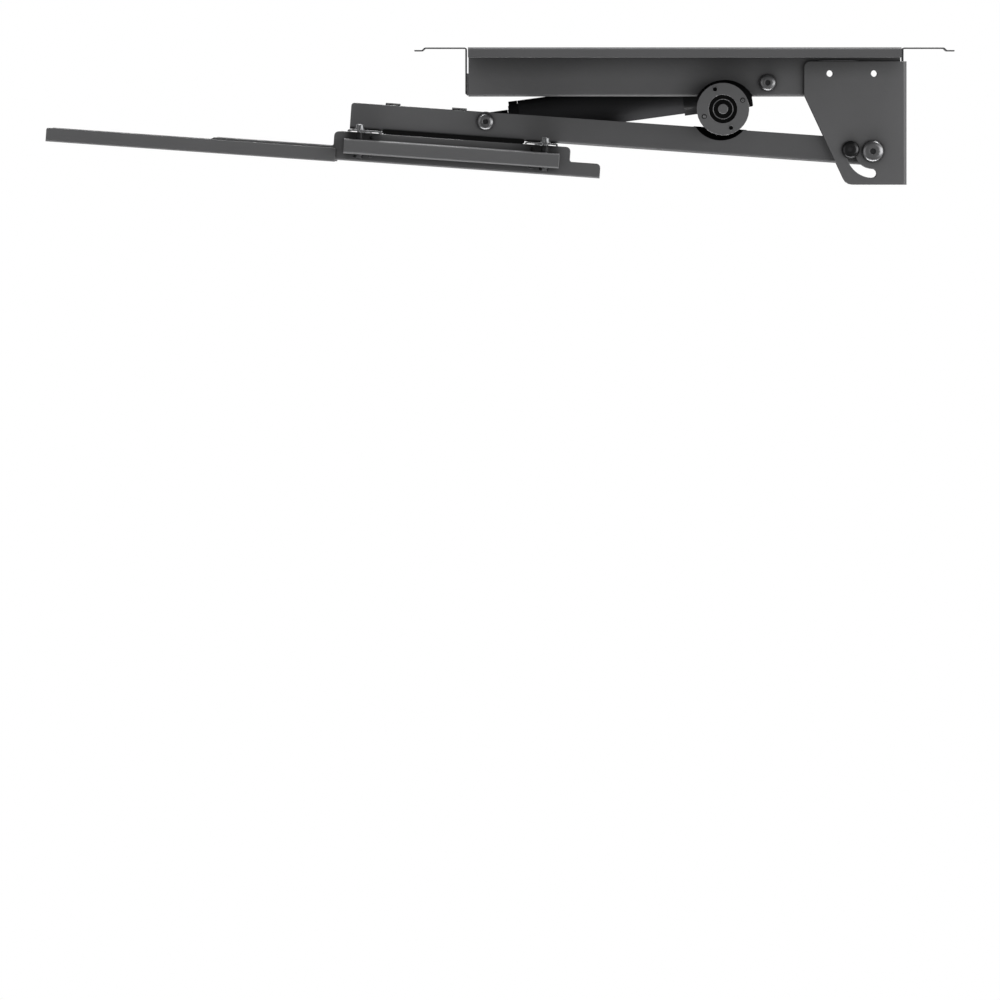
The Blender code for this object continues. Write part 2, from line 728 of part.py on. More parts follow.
def main_channel():
    """Channel under the plate, open below, with inward lips, end tabs and the motor's notch."""
    half = CHANNEL_WIDTH / 2 - CHANNEL_SHEET / 2
    top = -CHANNEL_TOP - CHANNEL_SHEET / 2
    bottom = -CHANNEL_DROP + CHANNEL_SHEET / 2
    lip = CHANNEL_WIDTH / 2 - CHANNEL_LIP
    path = [(-lip, bottom), (-half, bottom), (-half, top), (half, top), (half, bottom), (lip, bottom)]
    mesh = folded("main_channel", path, CHANNEL_SHEET, CHANNEL_BEND, -PLATE_LENGTH / 2, PLATE_LENGTH / 2,
                  "YZ")
    channel = add_piece("main_channel", mesh, COATED)
    change(channel, channel_tabs(), "UNION")
    through = CHANNEL_WIDTH
    motor_x, motor_z = motor_in_world()
    notch = (motor_x + CHANNEL_NOTCH_SHIFT[0], motor_z + CHANNEL_NOTCH_SHIFT[1])
    near_leg = (-CHANNEL_WIDTH, -(CHANNEL_WIDTH / 2 - CHANNEL_LIP - SEAT_GAP))
    change(channel, rods("channel_notch", [notch], *near_leg, MOTOR_CAP_RADIUS + CHANNEL_NOTCH_GAP,
                         steps=2 * ROUND_STEPS))
    change(channel, rods("channel_bolt_holes", [(ACTUATOR_X, -ACTUATOR_DROP)], -through, through,
                         CROSS_BOLT_RADIUS + SEAT_GAP))
    change(channel, rods("channel_plain_holes", cheek_hole_places(), -through, through,
                         CHEEK_HOLE_RADIUS))
    window = rectangle(inlet_centre(), INLET_WIDTH + 2 * CHANNEL_WINDOW_MARGIN,
                       INLET_HEIGHT + 2 * CHANNEL_WINDOW_MARGIN, CHANNEL_WINDOW_MARGIN / 2)
    change(channel, prism("channel_window", [window], BOX_WIDTH / 2, through, "XZ"))


def channel_tabs():
    """Four tabs turned in at the channel's ends, which carry the end brackets."""
    out = END_WALL_INNER - SEAT_GAP
    inner = out - TAB_SHEET
    edge = CHANNEL_WIDTH / 2 - CHANNEL_SHEET / 4
    bottom = -CHANNEL_DROP + CHANNEL_SHEET / 2
    tabs = []
    for end in (-1, 1):
        for side in (-1, 1):
            x_low, x_high = band(end, inner, out)
            y_low, y_high = band(side, edge - TAB_WIDTH, edge)
            tabs.append(block("tab", (x_low, y_low, bottom), (x_high, y_high, -TAB_DROP)))
    return joined("channel_tabs", tabs)


def end_bracket(name, end):
    """Folded end wall with a lip below and a joggled ear above."""
    wall = END_WALL_OUTER - EAR_SHEET / 2
    top = -EAR_SHEET / 2
    bottom = -END_WALL_DROP + EAR_SHEET / 2
    flat = END_WALL_OUTER + EAR_FLAT
    path = [
        (END_WALL_OUTER + EAR_LENGTH, top - EAR_JOGGLE_DROP),
        (flat + EAR_JOGGLE_RUN, top - EAR_JOGGLE_DROP),
        (flat, top),
        (wall, top),
        (wall, bottom),
        (END_WALL_INNER - END_LIP_LENGTH, bottom),
    ]
    path = [(end * x, z) for x, z in path]
    mesh = folded(name, path, EAR_SHEET, EAR_BEND, -END_BRACKET_WIDTH / 2, END_BRACKET_WIDTH / 2, "XZ")
    bracket = add_piece(name, mesh, COATED)
    lip_low, lip_high = band(end, END_WALL_INNER - 2 * END_LIP_LENGTH, END_WALL_INNER)
    trims = []
    for side in (-1, 1):
        y_low, y_high = band(side, END_LIP_WIDTH / 2, CHANNEL_WIDTH)
        trims.append(block("trim", (lip_low, y_low, -CHANNEL_DROP), (lip_high, y_high, -END_WALL_DROP / 2)))
    change(bracket, joined(name + "_lip_trims", trims))
    slot_x = end * (END_WALL_OUTER + EAR_FLAT / 2)
    slots = [slot((slot_x, side * EAR_SLOT_SPACING / 2), EAR_SLOT_LENGTH, EAR_SLOT_WIDTH) for side in (-1, 1)]
    change(bracket, prism(name + "_slots", slots, -2 * EAR_SHEET, EAR_SHEET, "XY"))


def hinge_bracket():
    """U-shaped bracket: two cheeks and a back plate, with arc slots round the pivot."""
    cheek = CHEEK_INSIDE + BRACKET_SHEET / 2
    back = END_WALL_OUTER + SEAT_GAP + BRACKET_SHEET / 2
    spare = 2 * BRACKET_SHEET
    left = BRACKET_LEFT - spare
    path = [(left, -cheek), (back, -cheek), (back, cheek), (left, cheek)]
    mesh = folded("hinge_bracket", path, BRACKET_SHEET, BRACKET_BEND, -BRACKET_DROP - spare,
                  -BRACKET_TOP_DROP + spare, "XY")
    bracket = add_piece("hinge_bracket", mesh, COATED)
    right = back + spare
    outline = rounded(
        [(BRACKET_LEFT, -BRACKET_TOP_DROP), (right, -BRACKET_TOP_DROP), (right, -BRACKET_DROP),
         (BRACKET_FOOT_LEFT, -BRACKET_DROP), (BRACKET_LEFT, -BRACKET_SLANT_DROP)],
        [BRACKET_TOP_CORNER, 0, 0, BRACKET_FOOT_CORNER, BRACKET_SLANT_CORNER])
    wide = CHANNEL_WIDTH
    change(bracket, prism("bracket_outline", [outline], -wide, wide, "XZ"), "INTERSECT")
    pivot = (PIVOT_X, -PIVOT_DROP)
    start = math.pi - math.radians(ARM_TILT)
    end = start + math.radians(SLOT_SWEEP)
    path = arc_slot(pivot, GUIDE_REACH, 2 * (GUIDE_RADIUS + SLOT_GAP), start, end)
    change(bracket, prism("bracket_arc_slots", [path], -wide, wide, "XZ"))
    change(bracket, rods("bracket_pivot_holes", [pivot], -wide, wide, PIVOT_BOLT_RADIUS + SEAT_GAP))
    change(bracket, rods("bracket_plain_holes", cheek_hole_places(), -wide, wide, CHEEK_HOLE_RADIUS))
    window = rectangle((0, -CABLE_WINDOW_DROP), CABLE_WINDOW_WIDTH, CABLE_WINDOW_HEIGHT,
                       CABLE_WINDOW_HEIGHT / 4)
    change(bracket, prism("bracket_cable_window", [window], PIVOT_X, wide * 2, "YZ"))


def fold_pivot():
    """Shaft between the cheeks and the two bolts that hold it."""
    pivot = (PIVOT_X, 0, -PIVOT_DROP)
    end = CHEEK_INSIDE - SEAT_GAP
    bore = PIVOT_BOLT_RADIUS + SEAT_GAP
    floor = end - PIVOT_BOLT_REACH - SEAT_GAP
    profile = [(0, floor), (bore, floor), (bore, end), (PIVOT_SHAFT_RADIUS, end),
               (PIVOT_SHAFT_RADIUS, -end), (bore, -end), (bore, -floor), (0, -floor)]
    turned("pivot_shaft", profile, STEEL, at=pivot, facing=NEAR)
    base = CHEEK_OUTSIDE + SEAT_GAP
    for word, _, facing in sides():
        screw_piece("pivot_bolt_" + word, ZINC, None, pivot, facing,
                    (PIVOT_HEAD_RADIUS, PIVOT_HEAD_HEIGHT, base), PIVOT_BOLT_RADIUS,
                    end - PIVOT_BOLT_REACH, PIVOT_SOCKET_RADIUS)


def actuator_cross_bolt():
    """Long bolt through the channel that carries the actuator's rear eye, with its spacers."""
    place = (ACTUATOR_X, 0, -ACTUATOR_DROP)
    base = CHANNEL_WIDTH / 2 + SEAT_GAP
    tip = -(base + CROSS_NUT_HEIGHT + 2 * SEAT_GAP)
    screw_piece("actuator_bolt", ZINC, None, place, NEAR, (CROSS_HEAD_RADIUS, CROSS_HEAD_HEIGHT, base),
                CROSS_BOLT_RADIUS, tip, CROSS_SOCKET_RADIUS)
    bore = CROSS_BOLT_RADIUS + SEAT_GAP
    flats = arc((0, 0), CROSS_NUT_RADIUS, 0, 2 * math.pi, 6)[:-1]
    hole = arc((0, 0), bore, 0, 2 * math.pi, BOLT_STEPS)[:-1]
    nut = prism("actuator_nut", [flats, hole], base, base + CROSS_NUT_HEIGHT, "XZ")
    add_piece("actuator_nut", nut, ZINC, at=place)
    inner = EYE_WIDTH / 2 + SEAT_GAP
    outer = CHANNEL_INSIDE - SEAT_GAP
    for word, _, facing in sides():
        turned("actuator_spacer_" + word, ring_profile(SPACER_RADIUS, bore, inner, outer), STEEL,
               at=place, facing=facing, ring=True, steps=BOLT_STEPS)


def inlet_centre():
    """Place of the power inlet in X and Z, on the box's far wall."""
    return BOX_LEFT + BOX_LENGTH / 2, -(BOX_TOP + BOX_DROP) / 2


def control_box():
    """Open-bottomed box for the motor's electronics, its lid and the power inlet."""
    half = BOX_WIDTH / 2
    outside = block("control_box", (BOX_LEFT, -half, -BOX_DROP), (BOX_RIGHT, half, -BOX_TOP))
    box = add_piece("control_box", outside, PLASTIC)
    inside = block("box_inside", (BOX_LEFT + BOX_WALL, -half + BOX_WALL, -2 * BOX_DROP),
                   (BOX_RIGHT - BOX_WALL, half - BOX_WALL, -BOX_TOP - BOX_WALL))
    change(box, inside)
    hole = rectangle(inlet_centre(), INLET_WIDTH + 2 * SEAT_GAP, INLET_HEIGHT + 2 * SEAT_GAP)
    change(box, prism("box_inlet_hole", [hole], 0, BOX_WIDTH, "XZ"))
    top = -BOX_DROP - SEAT_GAP
    lid = rectangle(((BOX_LEFT + BOX_RIGHT) / 2, 0), BOX_LENGTH, BOX_WIDTH, BOX_WALL)
    add_piece("control_box_lid", prism("control_box_lid", [lid], top - BOX_LID, top, "XY"), PLASTIC)
    front = half + INLET_STANDOUT
    body = prism("power_inlet", [rectangle(inlet_centre(), INLET_WIDTH, INLET_HEIGHT, INLET_WALL / 2)],
                 front - INLET_DEPTH, front, "XZ")
    inlet = add_piece("power_inlet", body, PLASTIC)
    well = rectangle(inlet_centre(), INLET_WIDTH - 2 * INLET_WALL, INLET_HEIGHT - 2 * INLET_WALL,
                     INLET_WALL / 2)
    change(inlet, prism("inlet_well", [well], front - INLET_DEPTH + INLET_WALL, front + INLET_WALL, "XZ"))


def arm_channel():
    """Folding arm: an open-topped channel with a notch for the motor in its near side."""
    half = ARM_WIDTH / 2 - ARM_SHEET / 2
    bottom = -ARM_BELOW_PIVOT + ARM_SHEET / 2
    spare = 2 * ARM_SHEET
    top = ARM_ABOVE_PIVOT + spare
    path = [(-half, top), (-half, bottom), (half, bottom), (half, top)]
    mesh = folded("arm_channel", path, ARM_SHEET, ARM_BEND, -ARM_LENGTH - spare, ARM_HEEL_RADIUS + spare,
                  "YZ")
    arm = add_piece("arm_channel", mesh, COATED, ARM)
    low = -ARM_BELOW_PIVOT - spare
    heel_top = math.asin(ARM_ABOVE_PIVOT / ARM_HEEL_RADIUS)
    end = [(-ARM_LENGTH, low), (-ARM_LENGTH, ARM_ABOVE_PIVOT), (0, ARM_ABOVE_PIVOT)]
    end = rounded(end, [0, ARM_END_CORNER, 0], closed=False)
    heel = arc((0, 0), ARM_HEEL_RADIUS, heel_top, -math.pi / 2, 9)
    outline = end + heel + [(0, low)]
    change(arm, prism("arm_outline", [outline], -ARM_WIDTH, ARM_WIDTH, "XZ"), "INTERSECT")
    motor_x, motor_z = motor_in_arm()
    notch = (motor_x + ARM_NOTCH_SHIFT[0], motor_z + ARM_NOTCH_SHIFT[1])
    change(arm, rods("arm_notch", [notch], -ARM_WIDTH, -ARM_INSIDE + ARM_SHEET,
                     MOTOR_CAP_RADIUS + ARM_NOTCH_GAP, steps=2 * ROUND_STEPS))
    change(arm, rods("arm_pivot_holes", [(0, 0)], -ARM_WIDTH, ARM_WIDTH, bush_outer() + SEAT_GAP))
    change(arm, rods("arm_guide_holes", [(-GUIDE_REACH, 0)], -ARM_WIDTH, ARM_WIDTH,
                     GUIDE_RADIUS + SEAT_GAP))
    change(arm, rods("arm_rod_holes", [(-ROD_PIN_REACH, ROD_PIN_RISE)], -ARM_WIDTH, ARM_WIDTH,
                     CROSS_BOLT_RADIUS + SEAT_GAP))
    windows = [rectangle((-reach, 0), ARM_WINDOW_LENGTH, ARM_WINDOW_WIDTH, WINDOW_CORNER)
               for reach in ARM_WINDOW_REACHES]
    change(arm, prism("arm_windows", windows, 2 * low, 0, "XY"))
    change(arm, rods("arm_bolt_holes", arm_bolt_places(), 2 * low, 0, ARM_BOLT_RADIUS + SEAT_GAP, "XY"))


def arm_bolt_places():
    """Where bolts hold the two crossbars to the arm, in the arm's own X and Y."""
    places = []
    for end in (-1, 1):
        x = -BRACKET_REACH + end * CROSSBAR_SPACING / 2
        for side in (-1, 1):
            places.append((x, side * ARM_BOLT_SPACING / 2))
    return places


def bush_outer():
    """Outer radius of a pivot bush's sleeve."""
    return PIVOT_SHAFT_RADIUS + RUNNING_GAP + BUSH_WALL


def pivot_bushes():
    """Flanged bushes in the arm that run on the pivot shaft."""
    bore = PIVOT_SHAFT_RADIUS + RUNNING_GAP
    outer = CHEEK_INSIDE - RUNNING_GAP
    seat = ARM_WIDTH / 2 + SEAT_GAP
    inner = ARM_INSIDE - BUSH_SLEEVE_DEPTH
    profile = [(BUSH_FLANGE_RADIUS, outer), (BUSH_FLANGE_RADIUS, seat), (bush_outer(), seat),
               (bush_outer(), inner), (bore, inner), (bore, outer)]
    for word, _, facing in sides():
        turned("pivot_bush_" + word, profile, NYLON, ARM, facing=facing, ring=True)


def guide_bolts():
    """Bolts of the arm that run in the arc slots, each with a spacer roller inside the cheek."""
    place = (-GUIDE_REACH, 0, 0)
    base = CHEEK_OUTSIDE + RUNNING_GAP
    roller = ring_profile(GUIDE_ROLLER_RADIUS, GUIDE_RADIUS + SEAT_GAP, ARM_WIDTH / 2 + SEAT_GAP,
                          CHEEK_INSIDE - RUNNING_GAP)
    for word, _, facing in sides():
        screw_piece("guide_bolt_" + word, ZINC, ARM, place, facing,
                    (GUIDE_HEAD_RADIUS, GUIDE_HEAD_HEIGHT, base), GUIDE_RADIUS,
                    ARM_INSIDE - GUIDE_BOLT_INSIDE, GUIDE_SOCKET_RADIUS)
        turned("guide_roller_" + word, roller, NYLON, ARM, place, facing, ring=True, steps=BOLT_STEPS)


def rod_bolts():
    """Two bolts with sleeves that hold the rod's eye between them."""
    place = (-ROD_PIN_REACH, 0, ROD_PIN_RISE)
    base = ARM_WIDTH / 2 + SEAT_GAP
    inner = ROD_EYE_WIDTH / 2 + 2 * SEAT_GAP
    bore = CROSS_BOLT_RADIUS + SEAT_GAP
    sleeve = ring_profile(SLEEVE_RADIUS, bore, inner, ARM_INSIDE - SEAT_GAP)
    for word, _, facing in sides():
        screw_piece("rod_bolt_" + word, ZINC, ARM, place, facing,
                    (CROSS_HEAD_RADIUS, CROSS_HEAD_HEIGHT, base), CROSS_BOLT_RADIUS,
                    inner + SEAT_GAP, CROSS_SOCKET_RADIUS)
        turned("rod_sleeve_" + word, sleeve, STEEL, ARM, place, facing, ring=True, steps=BOLT_STEPS)


def cable_clips():
    """Folded clips inside the arm's near wall that hold the motor's lead."""
    wall = -ARM_INSIDE + SEAT_GAP + CLIP_SHEET / 2
    free = wall + CLIP_WIDTH
    top = ARM_ABOVE_PIVOT + CLIP_RISE - CLIP_SHEET / 2
    path = [(wall, top - CLIP_HEIGHT), (wall, top), (free, top), (free, top - CLIP_LIP)]
    for word, inset in zip(("inner", "outer"), CLIP_INSETS):
        name = "cable_clip_" + word
        reach = ARM_LENGTH - inset
        mesh = folded(name, path, CLIP_SHEET, CLIP_BEND, -reach - CLIP_LENGTH / 2, -reach + CLIP_LENGTH / 2,
                      "YZ")
        add_piece(name, mesh, PLASTIC, ARM)


def crossbars():
    """Two shallow folded bars across the arm that carry the television's rails."""
    top = -CROSSBAR_TOP - CROSSBAR_SHEET / 2
    low = -CROSSBAR_BOTTOM
    half = CROSSBAR_WIDTH / 2 - CROSSBAR_SHEET / 2
    for word, end in (("inner", 1), ("outer", -1)):
        x = -BRACKET_REACH + end * CROSSBAR_SPACING / 2
        path = [(x - half, low), (x - half, top), (x + half, top), (x + half, low)]
        name = "crossbar_" + word
        mesh = folded(name, path, CROSSBAR_SHEET, CROSSBAR_BEND, -CROSSBAR_LENGTH / 2, CROSSBAR_LENGTH / 2,
                      "XZ")
        bar = add_piece(name, mesh, ZINC, ARM)
        lock = -BRACKET_REACH + end * LOCK_SPACING / 2
        width = 2 * (LOCK_RADIUS + SLOT_GAP)
        outer = LOCK_OFFSET + width / 2 + SEAT_GAP
        inner = LOCK_OFFSET - RAIL_TRAVEL - width / 2 - SEAT_GAP
        slots = []
        for side in (-1, 1):
            loop = slot((side * (inner + outer) / 2, lock), outer - inner, width)
            slots.append([(v, u) for u, v in loop])
        change(bar, prism(name + "_slots", slots, 2 * low, 0, "XY"))
        holes = [place for place in arm_bolt_places() if abs(place[0] - x) < half]
        change(bar, rods(name + "_holes", holes, 2 * low, 0, ARM_BOLT_RADIUS + SEAT_GAP, "XY"))


def spreader_plate():
    """Plate under the arm between the two crossbars, with its long edges turned down."""
    half_length = (CROSSBAR_SPACING - CROSSBAR_WIDTH) / 2 - SPREADER_GAP
    half = SPREADER_WIDTH / 2 - SPREADER_SHEET / 2
    top = -CROSSBAR_TOP - SPREADER_SHEET / 2
    low = -CROSSBAR_TOP - SPREADER_SKIRT
    path = [(-half, low), (-half, top), (half, top), (half, low)]
    mesh = folded("spreader_plate", path, SPREADER_SHEET, SPREADER_BEND, -BRACKET_REACH - half_length,
                  -BRACKET_REACH + half_length, "YZ")
    add_piece("spreader_plate", mesh, COATED, ARM)


def tv_slots(side, first, last):
    """Slots for the television's screws along a flange, between two reaches."""
    count = int((last - first) / TV_SLOT_PITCH)
    middle = (first + last) / 2
    loops = []
    for index in range(count):
        reach = middle + (index - (count - 1) / 2) * TV_SLOT_PITCH
        loops.append(slot((-reach, side * RAIL_OFFSET), TV_SLOT_LENGTH, TV_SLOT_WIDTH))
    return loops


def rail(word, side):
    """Angle rail with a raised middle that hangs under the crossbars."""
    name = "rail_" + word
    web = side * (RAIL_OUTSIDE - RAIL_SHEET / 2)
    free = side * (RAIL_OUTSIDE - RAIL_WIDTH)
    bottom = -RAIL_FACE_DROP + RAIL_SHEET / 2
    spare = 2 * RAIL_SHEET
    end = RAIL_END + RAIL_RAMP
    mesh = folded(name, [(free, bottom), (web, bottom), (web, -RAIL_TOP + spare)], RAIL_SHEET, RAIL_BEND,
                  -end - spare, -RAIL_START + spare, "YZ")
    piece = add_piece(name, mesh, COATED, ARM)
    y_low, y_high = band(side, RAIL_OUTSIDE - TOP_FLANGE_WIDTH, RAIL_OUTSIDE - RAIL_SHEET / 2)
    flange = block(name + "_flange",
                   (-RAISED_END + TOP_FLANGE_INSET, y_low, -RAIL_TOP - RAIL_SHEET),
                   (-RAISED_START - TOP_FLANGE_INSET, y_high, -RAIL_TOP + RAIL_SHEET))
    change(piece, flange, "UNION")
    low = -RAIL_FACE_DROP - spare
    shoulder = -RAIL_SHOULDER_DROP
    outline = rounded(
        [(-RAIL_START, low), (-RAIL_START, shoulder), (-RAISED_START, shoulder), (-RAISED_START, -RAIL_TOP),
         (-RAISED_END, -RAIL_TOP), (-RAISED_END, shoulder), (-RAIL_END, shoulder),
         (-end, -EXTENSION_TOP_DROP), (-end, low)],
        [0, TAIL_CORNER, RAISED_FOOT_CORNER, RAISED_CORNER, RAISED_CORNER, RAISED_FOOT_CORNER, 0, 0, 0])
    y_low, y_high = band(side, RAIL_OUTSIDE - 2 * RAIL_WIDTH, RAIL_OUTSIDE + RAIL_WIDTH)
    change(piece, prism(name + "_outline", [outline], y_low, y_high, "XZ"), "INTERSECT")
    loops = tv_slots(side, RAIL_START, EXTENSION_START)
    change(piece, prism(name + "_slots", loops, low, shoulder, "XY"))


def rail_extension(word, side):
    """Thinner angle that carries the rail further out, bolted under its end."""
    name = "rail_extension_" + word
    outside = RAIL_OUTSIDE + SEAT_GAP + EXTENSION_SHEET
    web = side * (outside - EXTENSION_SHEET / 2)
    free = side * (RAIL_OUTSIDE - RAIL_WIDTH)
    bottom = -RAIL_FACE_DROP - SEAT_GAP - EXTENSION_SHEET / 2
    spare = 2 * EXTENSION_SHEET
    mesh = folded(name, [(free, bottom), (web, bottom), (web, -EXTENSION_TOP_DROP + spare)], EXTENSION_SHEET,
                  EXTENSION_BEND, -EXTENSION_END - spare, -EXTENSION_START + spare, "YZ")
    piece = add_piece(name, mesh, COATED, ARM)
    low = bottom - spare
    outline = rounded(
        [(-EXTENSION_START, low), (-EXTENSION_START, -EXTENSION_TOP_DROP),
         (-EXTENSION_END, -EXTENSION_TOP_DROP), (-EXTENSION_END, low)],
        [0, EXTENSION_CORNER, EXTENSION_CORNER, 0])
    y_low, y_high = band(side, RAIL_OUTSIDE - 2 * RAIL_WIDTH, RAIL_OUTSIDE + RAIL_WIDTH)
    change(piece, prism(name + "_outline", [outline], y_low, y_high, "XZ"), "INTERSECT")
    loops = tv_slots(side, RAIL_END + RAIL_RAMP, EXTENSION_END)
    change(piece, prism(name + "_slots", loops, low, -EXTENSION_TOP_DROP, "XY"))


def lock_places():
    """The two lock screws of a rail, as reaches along the arm."""
    return (("inner", BRACKET_REACH - LOCK_SPACING / 2), ("outer", BRACKET_REACH + LOCK_SPACING / 2))


def side_bar(word, side):
    """Folded bar outside the rail's raised part, through which the lock screws pull."""
    name = "side_bar_" + word
    inner = side * (RAIL_OUTSIDE + SEAT_GAP)
    outer = side * (RAIL_OUTSIDE + SEAT_GAP + SIDE_BAR_DEPTH - SIDE_BAR_SHEET / 2)
    top = -SIDE_BAR_TOP_DROP - SIDE_BAR_SHEET / 2
    bottom = -SIDE_BAR_TOP_DROP - SIDE_BAR_HEIGHT + SIDE_BAR_SHEET / 2
    mesh = folded(name, [(inner, top), (outer, top), (outer, bottom), (inner, bottom)], SIDE_BAR_SHEET,
                  SIDE_BAR_BEND, -BRACKET_REACH - SIDE_BAR_LENGTH / 2, -BRACKET_REACH + SIDE_BAR_LENGTH / 2,
                  "YZ")
    bar = add_piece(name, mesh, COATED, ARM)
    holes = [(-reach, side * LOCK_OFFSET) for _, reach in lock_places()]
    change(bar, rods(name + "_holes", holes, -2 * RAIL_FACE_DROP, 0, LOCK_RADIUS + SEAT_GAP, "XY"))


def lock_screws(word, side):
    """Upright screws that clamp a rail's side bar to the two crossbars."""
    base = -CROSSBAR_TOP + SEAT_GAP
    head = base + LOCK_WASHER
    top = head + LOCK_HEAD_HEIGHT
    edge = LOCK_HEAD_HEIGHT * HEAD_EDGE_SHARE
    profile = [(0, top), (LOCK_HEAD_RADIUS - edge, top), (LOCK_HEAD_RADIUS, top - edge),
               (LOCK_HEAD_RADIUS, head), (LOCK_WASHER_RADIUS, head), (LOCK_WASHER_RADIUS, base),
               (LOCK_RADIUS, base), (LOCK_RADIUS, base - LOCK_LENGTH), (0, base - LOCK_LENGTH)]
    for end, reach in lock_places():
        name = "lock_screw_" + word + "_" + end
        piece = turned(name, profile, ZINC, ARM, (-reach, side * LOCK_OFFSET, 0), steps=BOLT_STEPS)
        hex_socket(piece, LOCK_SOCKET_RADIUS, top, LOCK_HEAD_HEIGHT * SOCKET_DEPTH_SHARE)


def gearbox_housing():
    """Cast housing with the rear eye, the screw's bore and the worm's bore."""
    half = GEARBOX_WIDTH / 2
    path = [(-GEARBOX_REAR, GEARBOX_TOP), (-GEARBOX_FRONT, GEARBOX_TOP), (-GEARBOX_FRONT, -GEARBOX_BOTTOM),
            (-BULGE_REAR, -GEARBOX_BOTTOM), (-BULGE_REAR, -GEARBOX_STEP), (-GEARBOX_REAR, -GEARBOX_STEP)]
    outline = rounded(path, [GEARBOX_CORNER, 0, 0, BULGE_CORNER, 0, GEARBOX_STEP_CORNER])
    housing = add_piece("gearbox_housing", prism("gearbox_housing", [outline], -half, half, "XZ"), BLACK,
                        ACTUATOR)
    eye_half = EYE_WIDTH / 2
    neck = block("gearbox_neck", (-GEARBOX_REAR - GEARBOX_CORNER, -eye_half, -NECK_HEIGHT / 2),
                 (0, eye_half, NECK_HEIGHT / 2))
    change(housing, neck, "UNION")
    eye = rods("gearbox_eye", [(0, 0)], -eye_half, eye_half, EYE_RADIUS, steps=ROUND_STEPS)
    change(housing, eye, "UNION")
    change(housing, rods("gearbox_eye_bore", [(0, 0)], -half, half, CROSS_BOLT_RADIUS + SEAT_GAP))
    wheel_rear = MOTOR_REACH - WHEEL_WIDTH / 2 - WHEEL_ROOM
    change(housing, rods("gearbox_wheel_room", [(0, -AXIS_DROP)], -2 * GEARBOX_FRONT, -wheel_rear,
                         WHEEL_RADIUS + WHEEL_ROOM, "YZ", ROUND_STEPS))
    change(housing, rods("gearbox_screw_bore", [(0, -AXIS_DROP)], -wheel_rear - WHEEL_ROOM,
                         -SCREW_REAR + SEAT_GAP, SCREW_RADIUS + RUNNING_GAP, "YZ"))
    change(housing, rods("gearbox_worm_bore", [(-MOTOR_REACH, -MOTOR_DROP)], -GEARBOX_WIDTH,
                         WORM_LENGTH / 2 + WORM_ROOM, WORM_RADIUS + WORM_ROOM))


def gearbox_cover():
    """Front cover of the gearbox, which holds the screw's bearing."""
    half = GEARBOX_WIDTH / 2
    top, bottom = GEARBOX_TOP, -GEARBOX_BOTTOM
    path = [(-half, bottom), (half, bottom), (half, top), (-half, top)]
    mesh = prism("gearbox_cover", [same_radius(path, GEARBOX_CORNER)], -COVER_FRONT,
                 -GEARBOX_FRONT - SEAT_GAP, "YZ")
    cover = add_piece("gearbox_cover", mesh, BLACK, ACTUATOR)
    change(cover, rods("cover_seat", [(0, -AXIS_DROP)], -2 * COVER_FRONT, 0, BEARING_RADIUS + SEAT_GAP, "YZ",
                       ROUND_STEPS))


def drive():
    """Lead screw with its worm wheel and bearing."""
    front = SCREW_REAR + SCREW_LENGTH
    turned("lead_screw", [(0, front), (SCREW_RADIUS, front), (SCREW_RADIUS, SCREW_REAR), (0, SCREW_REAR)],
           STEEL, ACTUATOR, AXIS, FORWARD, steps=BOLT_STEPS)
    bore = SCREW_RADIUS + SEAT_GAP
    wheel = ring_profile(WHEEL_RADIUS, bore, MOTOR_REACH - WHEEL_WIDTH / 2, MOTOR_REACH + WHEEL_WIDTH / 2)
    turned("worm_wheel", wheel, BRONZE, ACTUATOR, AXIS, FORWARD, ring=True)
    bearing = ring_profile(BEARING_RADIUS, bore, COVER_FRONT - BEARING_WIDTH, COVER_FRONT - SEAT_GAP)
    turned("screw_bearing", bearing, STEEL, ACTUATOR, AXIS, FORWARD, ring=True)


def motor():
    """Motor across the gearbox: can, end cap, and armature with its worm."""
    place = (-MOTOR_REACH, 0, -MOTOR_DROP)
    bore = MOTOR_SHAFT_RADIUS + RUNNING_GAP
    inside = MOTOR_RADIUS - MOTOR_WALL
    floor = MOTOR_REAR + MOTOR_WALL
    can = [(MOTOR_RADIUS, MOTOR_FRONT), (MOTOR_RADIUS, MOTOR_REAR), (bore, MOTOR_REAR), (bore, floor),
           (inside, floor), (inside, MOTOR_FRONT)]
    turned("motor_can", can, BLACK, ACTUATOR, place, NEAR, ring=True)
    back = MOTOR_FRONT + SEAT_GAP
    front = back + MOTOR_CAP_THICKNESS
    plug = inside - SEAT_GAP
    recess = front - MOTOR_CAP_RECESS_DEPTH
    journal = back + MOTOR_SHAFT_RADIUS
    cap = [(0, front), (MOTOR_CAP_BOSS, front), (MOTOR_CAP_BOSS, recess), (MOTOR_CAP_RECESS, recess),
           (MOTOR_CAP_RECESS, front), (MOTOR_CAP_RADIUS, front), (MOTOR_CAP_RADIUS, back), (plug, back),
           (plug, back - MOTOR_CAP_SPIGOT), (bore, back - MOTOR_CAP_SPIGOT), (bore, journal), (0, journal)]
    turned("motor_end_cap", cap, COATED, ACTUATOR, place, NEAR)
    tip = -WORM_LENGTH / 2
    shaft = [(0, journal - SEAT_GAP), (MOTOR_SHAFT_RADIUS, journal - SEAT_GAP),
             (MOTOR_SHAFT_RADIUS, ARMATURE_FRONT), (ARMATURE_RADIUS, ARMATURE_FRONT),
             (ARMATURE_RADIUS, ARMATURE_REAR), (MOTOR_SHAFT_RADIUS, ARMATURE_REAR),
             (MOTOR_SHAFT_RADIUS, WORM_LENGTH / 2), (WORM_RADIUS, WORM_LENGTH / 2), (WORM_RADIUS, tip),
             (0, tip)]
    turned("motor_armature", shaft, STEEL, ACTUATOR, place, NEAR, steps=BOLT_STEPS)


